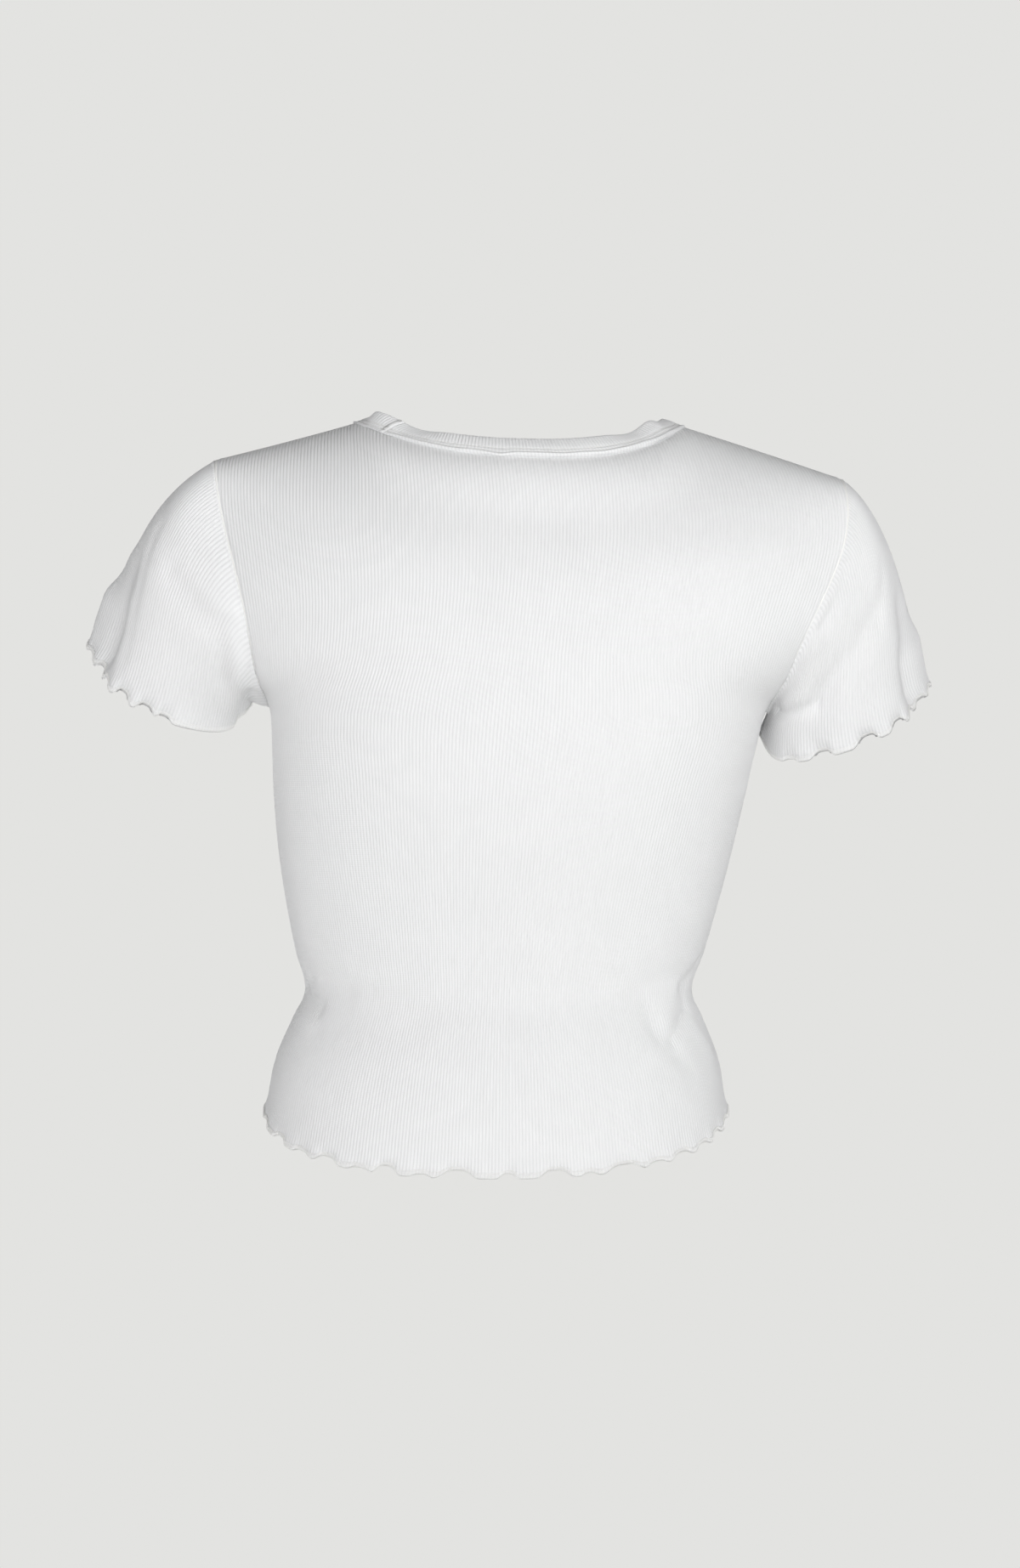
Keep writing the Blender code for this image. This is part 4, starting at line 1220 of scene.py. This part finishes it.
strips = {}
for word, way in (("left", -1), ("right", 1)):
    lines = {
        "_side_seam": (allowance_surface("back", way, *SIDE_CLIMB), way),
        "_back_armhole": (allowance_surface("back", way, *ARMHOLE_CLIMB), way),
        "_front_armhole": (allowance_surface("front", way, *ARMHOLE_CLIMB), -way),
        "_shoulder_seam": (shoulder_surface("back", way), way),
    }
    strips |= {word + seam: allowance(word + seam, *line) for seam, line in lines.items()}

# %% [markdown]
# Between the two pieces of a seam the stitches themselves fill the valley, so no light falls through it. Each
# seam gets a thick strand, sunk into the cloth. Along an armhole it lies higher, because the sleeve stands up
# there.

# %% Strands in the seams
STRAND = 1.1 * MM
STRAND_SUNK = {"armhole": 0.6 * MM, "side": 0.95 * MM, "shoulder": 0.95 * MM}
STRAND_POINTS = 260          # along each
STRAND_SIDE = (3, 282)       # mm up the cloth, along a side seam
STRAND_ARMHOLE = (282, 479.5)
STRAND_NECK = 0.01           # the share of a shoulder that is left free at the neck


def seam_strand(name, kind, surface, first=0.0):
    """A round strand along a surface's edge, from the first share of the way along it to the end."""
    share = np.linspace(first, 1, STRAND_POINTS)
    return thread(name, [surface(share, share * 0, share * 0 - STRAND_SUNK[kind])], STRAND, roundness=2)


strands = {}
for word, way in (("left", -1), ("right", 1)):
    side_line = allowance_surface("back", way, *STRAND_SIDE)
    strands[word + "_side"] = seam_strand(word + "_side_strand", "side", side_line)
    for side in ("back", "front"):
        name = f"{word}_{side}_armhole"
        armhole_line = allowance_surface(side, way, *STRAND_ARMHOLE)
        strands[name] = seam_strand(name + "_strand", "armhole", armhole_line)
    top_line = shoulder_surface("back", way)
    strands[word + "_shoulder"] = seam_strand(word + "_shoulder_strand", "shoulder", top_line, STRAND_NECK)

# %% [markdown]
# ## White cotton knit
# Cotton rib is matt and a little fuzzy. Seen close, each rib is a column of V-shaped stitches, under a
# millimetre each. They are too small to model, so they come from the material: sums on the cloth's own
# pattern coordinates, where one unit across is a rib and one unit up is a millimetre, make a V for each
# stitch and drive a bump. Noise adds the yarn's unevenness. The grooves are painted a touch darker, as
# painted shade that stands in for the shade falling into them.

# %% Knit material
COURSE = 0.9                 # mm of cloth to a row of stitches
V_SLANT = 0.45               # how far the legs of a V rise, in rows
COTTON = ((0.765, 0.768, 0.772), (0.87, 0.872, 0.876))    # its colour at the darkest and at the lightest


class Sums:
    """Short words for the nodes of one material."""

    def __init__(self, name):
        self.material = bpy.data.materials.new(name)
        self.material.use_nodes = True
        self.nodes, self.links = self.material.node_tree.nodes, self.material.node_tree.links
        self.surface = self.nodes["Principled BSDF"]

    def wire(self, value, socket):
        if isinstance(value, (int, float)):
            socket.default_value = value
        else:
            self.links.new(value, socket)

    def sum(self, operation, first, second=0.0):
        node = self.nodes.new("ShaderNodeMath")
        node.operation = operation
        self.wire(first, node.inputs[0])
        self.wire(second, node.inputs[1])
        return node.outputs[0]

    def noise(self, coordinates, scale, detail):
        node = self.nodes.new("ShaderNodeTexNoise")
        node.inputs["Scale"].default_value = scale
        node.inputs["Detail"].default_value = detail
        self.links.new(coordinates, node.inputs["Vector"])
        return node.outputs["Fac"]

    def mix(self, share, dark, light):
        node = self.nodes.new("ShaderNodeMix")
        node.data_type = "RGBA"
        self.links.new(share, node.inputs["Factor"])
        node.inputs["A"].default_value = (*dark, 1)
        node.inputs["B"].default_value = (*light, 1)
        self.links.new(node.outputs["Result"], self.surface.inputs["Base Color"])

    def bump(self, height, strength, distance):
        node = self.nodes.new("ShaderNodeBump")
        node.inputs["Strength"].default_value = strength
        node.inputs["Distance"].default_value = distance
        self.links.new(height, node.inputs["Height"])
        self.links.new(node.outputs["Normal"], self.surface.inputs["Normal"])


def white_rib_knit():
    knit = Sums("white_rib_knit")
    pattern = knit.nodes.new("ShaderNodeUVMap")
    pattern.uv_map = "knit"
    split = knit.nodes.new("ShaderNodeSeparateXYZ")
    knit.links.new(pattern.outputs["UV"], split.inputs[0])
    rib, up = split.outputs["X"], split.outputs["Y"]
    spot = knit.nodes.new("ShaderNodeTexCoord").outputs["Object"]
    wale = knit.sum("FRACT", knit.sum("MULTIPLY", rib, 2.0))
    off_middle = knit.sum("ABSOLUTE", knit.sum("MULTIPLY", knit.sum("SUBTRACT", wale, 0.5), 2.0))
    slanted = knit.sum("MULTIPLY", off_middle, V_SLANT)
    course = knit.sum("FRACT", knit.sum("ADD", knit.sum("DIVIDE", up, COURSE), slanted))
    stitch = knit.sum("SINE", knit.sum("MULTIPLY", course, np.pi))
    stitch = knit.sum("MULTIPLY", stitch, knit.sum("SUBTRACT", 1.0, knit.sum("POWER", off_middle, 3.0)))
    yarn = knit.noise(spot, scale=1400, detail=3)
    fuzz = knit.noise(spot, scale=5000, detail=2)
    uneven = knit.sum("ADD", knit.sum("MULTIPLY", yarn, 0.7), knit.sum("MULTIPLY", fuzz, 0.4))
    knit.bump(knit.sum("ADD", stitch, uneven), strength=0.4, distance=0.2 * MM)
    # painted shade: the colour darkens towards each rib's groove, standing in for the shade that falls there
    off_rib = knit.sum("SUBTRACT", knit.sum("FRACT", rib), 0.5)
    groove = knit.sum("ABSOLUTE", knit.sum("MULTIPLY", off_rib, 2.0))
    shade = knit.sum("MULTIPLY", knit.sum("POWER", groove, 1.5), 0.75)
    cloudy = knit.sum("MULTIPLY", knit.noise(spot, scale=45, detail=4), 0.35)
    mottled = knit.sum("MULTIPLY", yarn, 0.35)
    light = knit.sum("SUBTRACT", 1.2, knit.sum("ADD", shade, knit.sum("ADD", cloudy, mottled)))
    knit.mix(light, *COTTON)
    knit.wire(knit.sum("ADD", 0.74, knit.sum("MULTIPLY", yarn, 0.2)), knit.surface.inputs["Roughness"])
    knit.surface.inputs["Sheen Weight"].default_value = 0.25
    knit.surface.inputs["Sheen Roughness"].default_value = 0.5
    knit.surface.inputs["Specular IOR Level"].default_value = 0.25
    return knit.material


KNIT = white_rib_knit()
for piece in (back_cloth, front_cloth, left_sleeve_cloth, right_sleeve_cloth, neckband_cloth,
              *(strip for strip, _ in strips.values())):
    piece.data.materials.append(KNIT)
print("knit material has", len(KNIT.node_tree.nodes), "nodes")

# %% [markdown]
# ## Sewing thread
# The thread is polyester, a shade creamier and shinier than the cotton. Two plies are twisted together, which
# shows as fine slanting bands. A wave texture on Object coordinates is fine enough for that.

# %% Thread material
POLYESTER = ((0.83, 0.827, 0.81), (0.91, 0.907, 0.89))    # its colour at the darkest and at the lightest


def sewing_thread():
    ply = Sums("sewing_thread")
    spot = ply.nodes.new("ShaderNodeTexCoord").outputs["Object"]
    bands = ply.nodes.new("ShaderNodeTexWave")
    bands.bands_direction = "DIAGONAL"
    bands.inputs["Scale"].default_value = 900
    bands.inputs["Distortion"].default_value = 2
    ply.links.new(spot, bands.inputs["Vector"])
    uneven = ply.noise(spot, scale=300, detail=2)
    twisted = ply.sum("ADD", ply.sum("MULTIPLY", bands.outputs["Fac"], 0.6), ply.sum("MULTIPLY", uneven, 0.4))
    ply.mix(twisted, *POLYESTER)
    ply.bump(bands.outputs["Fac"], strength=0.4, distance=0.08 * MM)
    ply.surface.inputs["Roughness"].default_value = 0.55
    ply.surface.inputs["Sheen Weight"].default_value = 0.2
    return ply.material


THREAD_FINISH = sewing_thread()
for piece in (*edge_threads.values(), *strands.values(), band_thread, *(line for _, line in strips.values())):
    piece.data.materials.append(THREAD_FINISH)

# %% [markdown]
# ## How each piece was cut
# Sizes are of the flat cloth, in metres.

# %% Cuts
CUTS = {
    "columns": ("width", "length", "area"),
    "back_cloth": (0.403, 0.480, 0.178),
    "front_cloth": (0.403, 0.480, 0.172),
    "left_sleeve_cloth": (0.335, 0.150, 0.036),
    "right_sleeve_cloth": (0.335, 0.150, 0.034),
    "neckband_cloth": (0.600, 0.024, 0.0125),
}


def sewn_on(side):
    """The strips and strands along a panel's seams. All but the front armholes' go with the back."""
    def own(word):
        return ("front" in word) == (side == "front")

    pairs = [piece for word, pair in strips.items() if own(word) for piece in pair]
    return pairs + [strand for word, strand in strands.items() if own(word)]


WITH = {
    "back_cloth": [edge_threads["back"], *sewn_on("back")],
    "front_cloth": [edge_threads["front"], *sewn_on("front")],
    "left_sleeve_cloth": [edge_threads["left"]],
    "right_sleeve_cloth": [edge_threads["right"]],
    "neckband_cloth": [band_thread],
}
for name, pieces in WITH.items():
    width, length, area = CUTS[name]
    cloth = bpy.data.objects[name]
    surface_area = sum(polygon.area for polygon in cloth.data.polygons) / 2
    print(name, "cut", area, "m2, measured", round(surface_area, 4), "m2")
    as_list(pieces)

# %% [markdown]
# ## Studio
# The picture is a catalogue shot: an even pale backdrop and very soft light. Most of it comes low from the
# right of the camera and up from a pale floor, so that the tops of the shoulders and the left side are the
# darkest parts. A weaker light, high on the right, reaches the upper back. Others keep the front readable
# too. The backdrop colour is seen by the camera alone, and the cloth is lit by a sky that is brighter
# underfoot.

# %% Light, backdrop and floor
LIGHTS = {
    "columns": ("x", "y", "z", "size", "watts"),
    "key": (0.5, -2.8, -0.3, 1.5, 40),
    "level": (-1.0, -2.7, -0.3, 1.5, 13),
    "high": (1.3, -1.8, 1.6, 1.5, 13),
    "high_right": (2.0, -0.95, 1.6, 1.5, 8),
    "left": (-2.8, 0, -0.8, 1.5, 13),
    "front_key": (-0.5, 2.8, -0.6, 1.5, 40),
    "front_level": (0.8, 2.7, 0.1, 1.5, 16),
}
AIM = (0, 0, -0.24)
BACKDROP = (0.768, 0.768, 0.752)
SKY = (0.10, 0.84)           # its strength overhead and underfoot
SKY_SPAN = 0.7               # it changes from this far below level to this far above, 1 being straight up
FLOOR = (1.15, -0.95)        # its radius and its height
FLOOR_GLOW = 0.4             # brightens the floor for the camera alone, nearer to the backdrop


def soft_light(name, x, y, z, size, watts):
    lamp = bpy.data.lights.new(name, "AREA")
    lamp.size, lamp.energy = size, watts
    light = bpy.data.objects.new(name, lamp)
    bpy.context.scene.collection.objects.link(light)
    light.location = (x, y, z)
    light.rotation_euler = (light.location - Vector(AIM)).to_track_quat("Z", "Y").to_euler()


def studio_sky():
    world = bpy.data.worlds.new("studio")
    bpy.context.scene.world = world
    world.use_nodes = True
    nodes, links = world.node_tree.nodes, world.node_tree.links
    seen = nodes["Background"]
    seen.inputs["Color"].default_value = (*BACKDROP, 1)
    lighting = nodes.new("ShaderNodeBackground")
    way, split = nodes.new("ShaderNodeTexCoord"), nodes.new("ShaderNodeSeparateXYZ")
    links.new(way.outputs["Generated"], split.inputs[0])
    height = nodes.new("ShaderNodeMapRange")
    links.new(split.outputs["Z"], height.inputs["Value"])
    limits = {"From Min": -SKY_SPAN, "From Max": SKY_SPAN, "To Min": SKY[1], "To Max": SKY[0]}
    for socket, value in limits.items():
        height.inputs[socket].default_value = value
    links.new(height.outputs["Result"], lighting.inputs["Strength"])
    path, choice = nodes.new("ShaderNodeLightPath"), nodes.new("ShaderNodeMixShader")
    links.new(path.outputs["Is Camera Ray"], choice.inputs[0])
    links.new(lighting.outputs[0], choice.inputs[1])
    links.new(seen.outputs[0], choice.inputs[2])
    links.new(choice.outputs[0], nodes["World Output"].inputs["Surface"])


def pale_floor():
    mesh = bmesh.new()
    bmesh.ops.create_circle(mesh, cap_ends=True, segments=96, radius=FLOOR[0])
    bmesh.ops.translate(mesh, verts=mesh.verts, vec=(0, 0, FLOOR[1]))
    data = bpy.data.meshes.new("floor")
    mesh.to_mesh(data)
    mesh.free()
    floor = bpy.data.objects.new("floor", data)
    bpy.context.scene.collection.objects.link(floor)
    paper = Sums("pale_paper")
    spot = paper.nodes.new("ShaderNodeTexCoord").outputs["Object"]
    paper.mix(paper.noise(spot, scale=3, detail=2), dark=(0.80, 0.80, 0.785), light=(0.84, 0.84, 0.825))
    paper.surface.inputs["Roughness"].default_value = 0.9
    seen = paper.nodes.new("ShaderNodeLightPath").outputs["Is Camera Ray"]
    paper.surface.inputs["Emission Color"].default_value = (*BACKDROP, 1)
    paper.wire(paper.sum("MULTIPLY", seen, FLOOR_GLOW), paper.surface.inputs["Emission Strength"])
    data.materials.append(paper.material)


for name, row in LIGHTS.items():
    if name != "columns":
        soft_light(name, *row)
studio_sky()
pale_floor()
bpy.context.scene.view_settings.view_transform = "Standard"
print(len(LIGHTS) - 1, "lights")
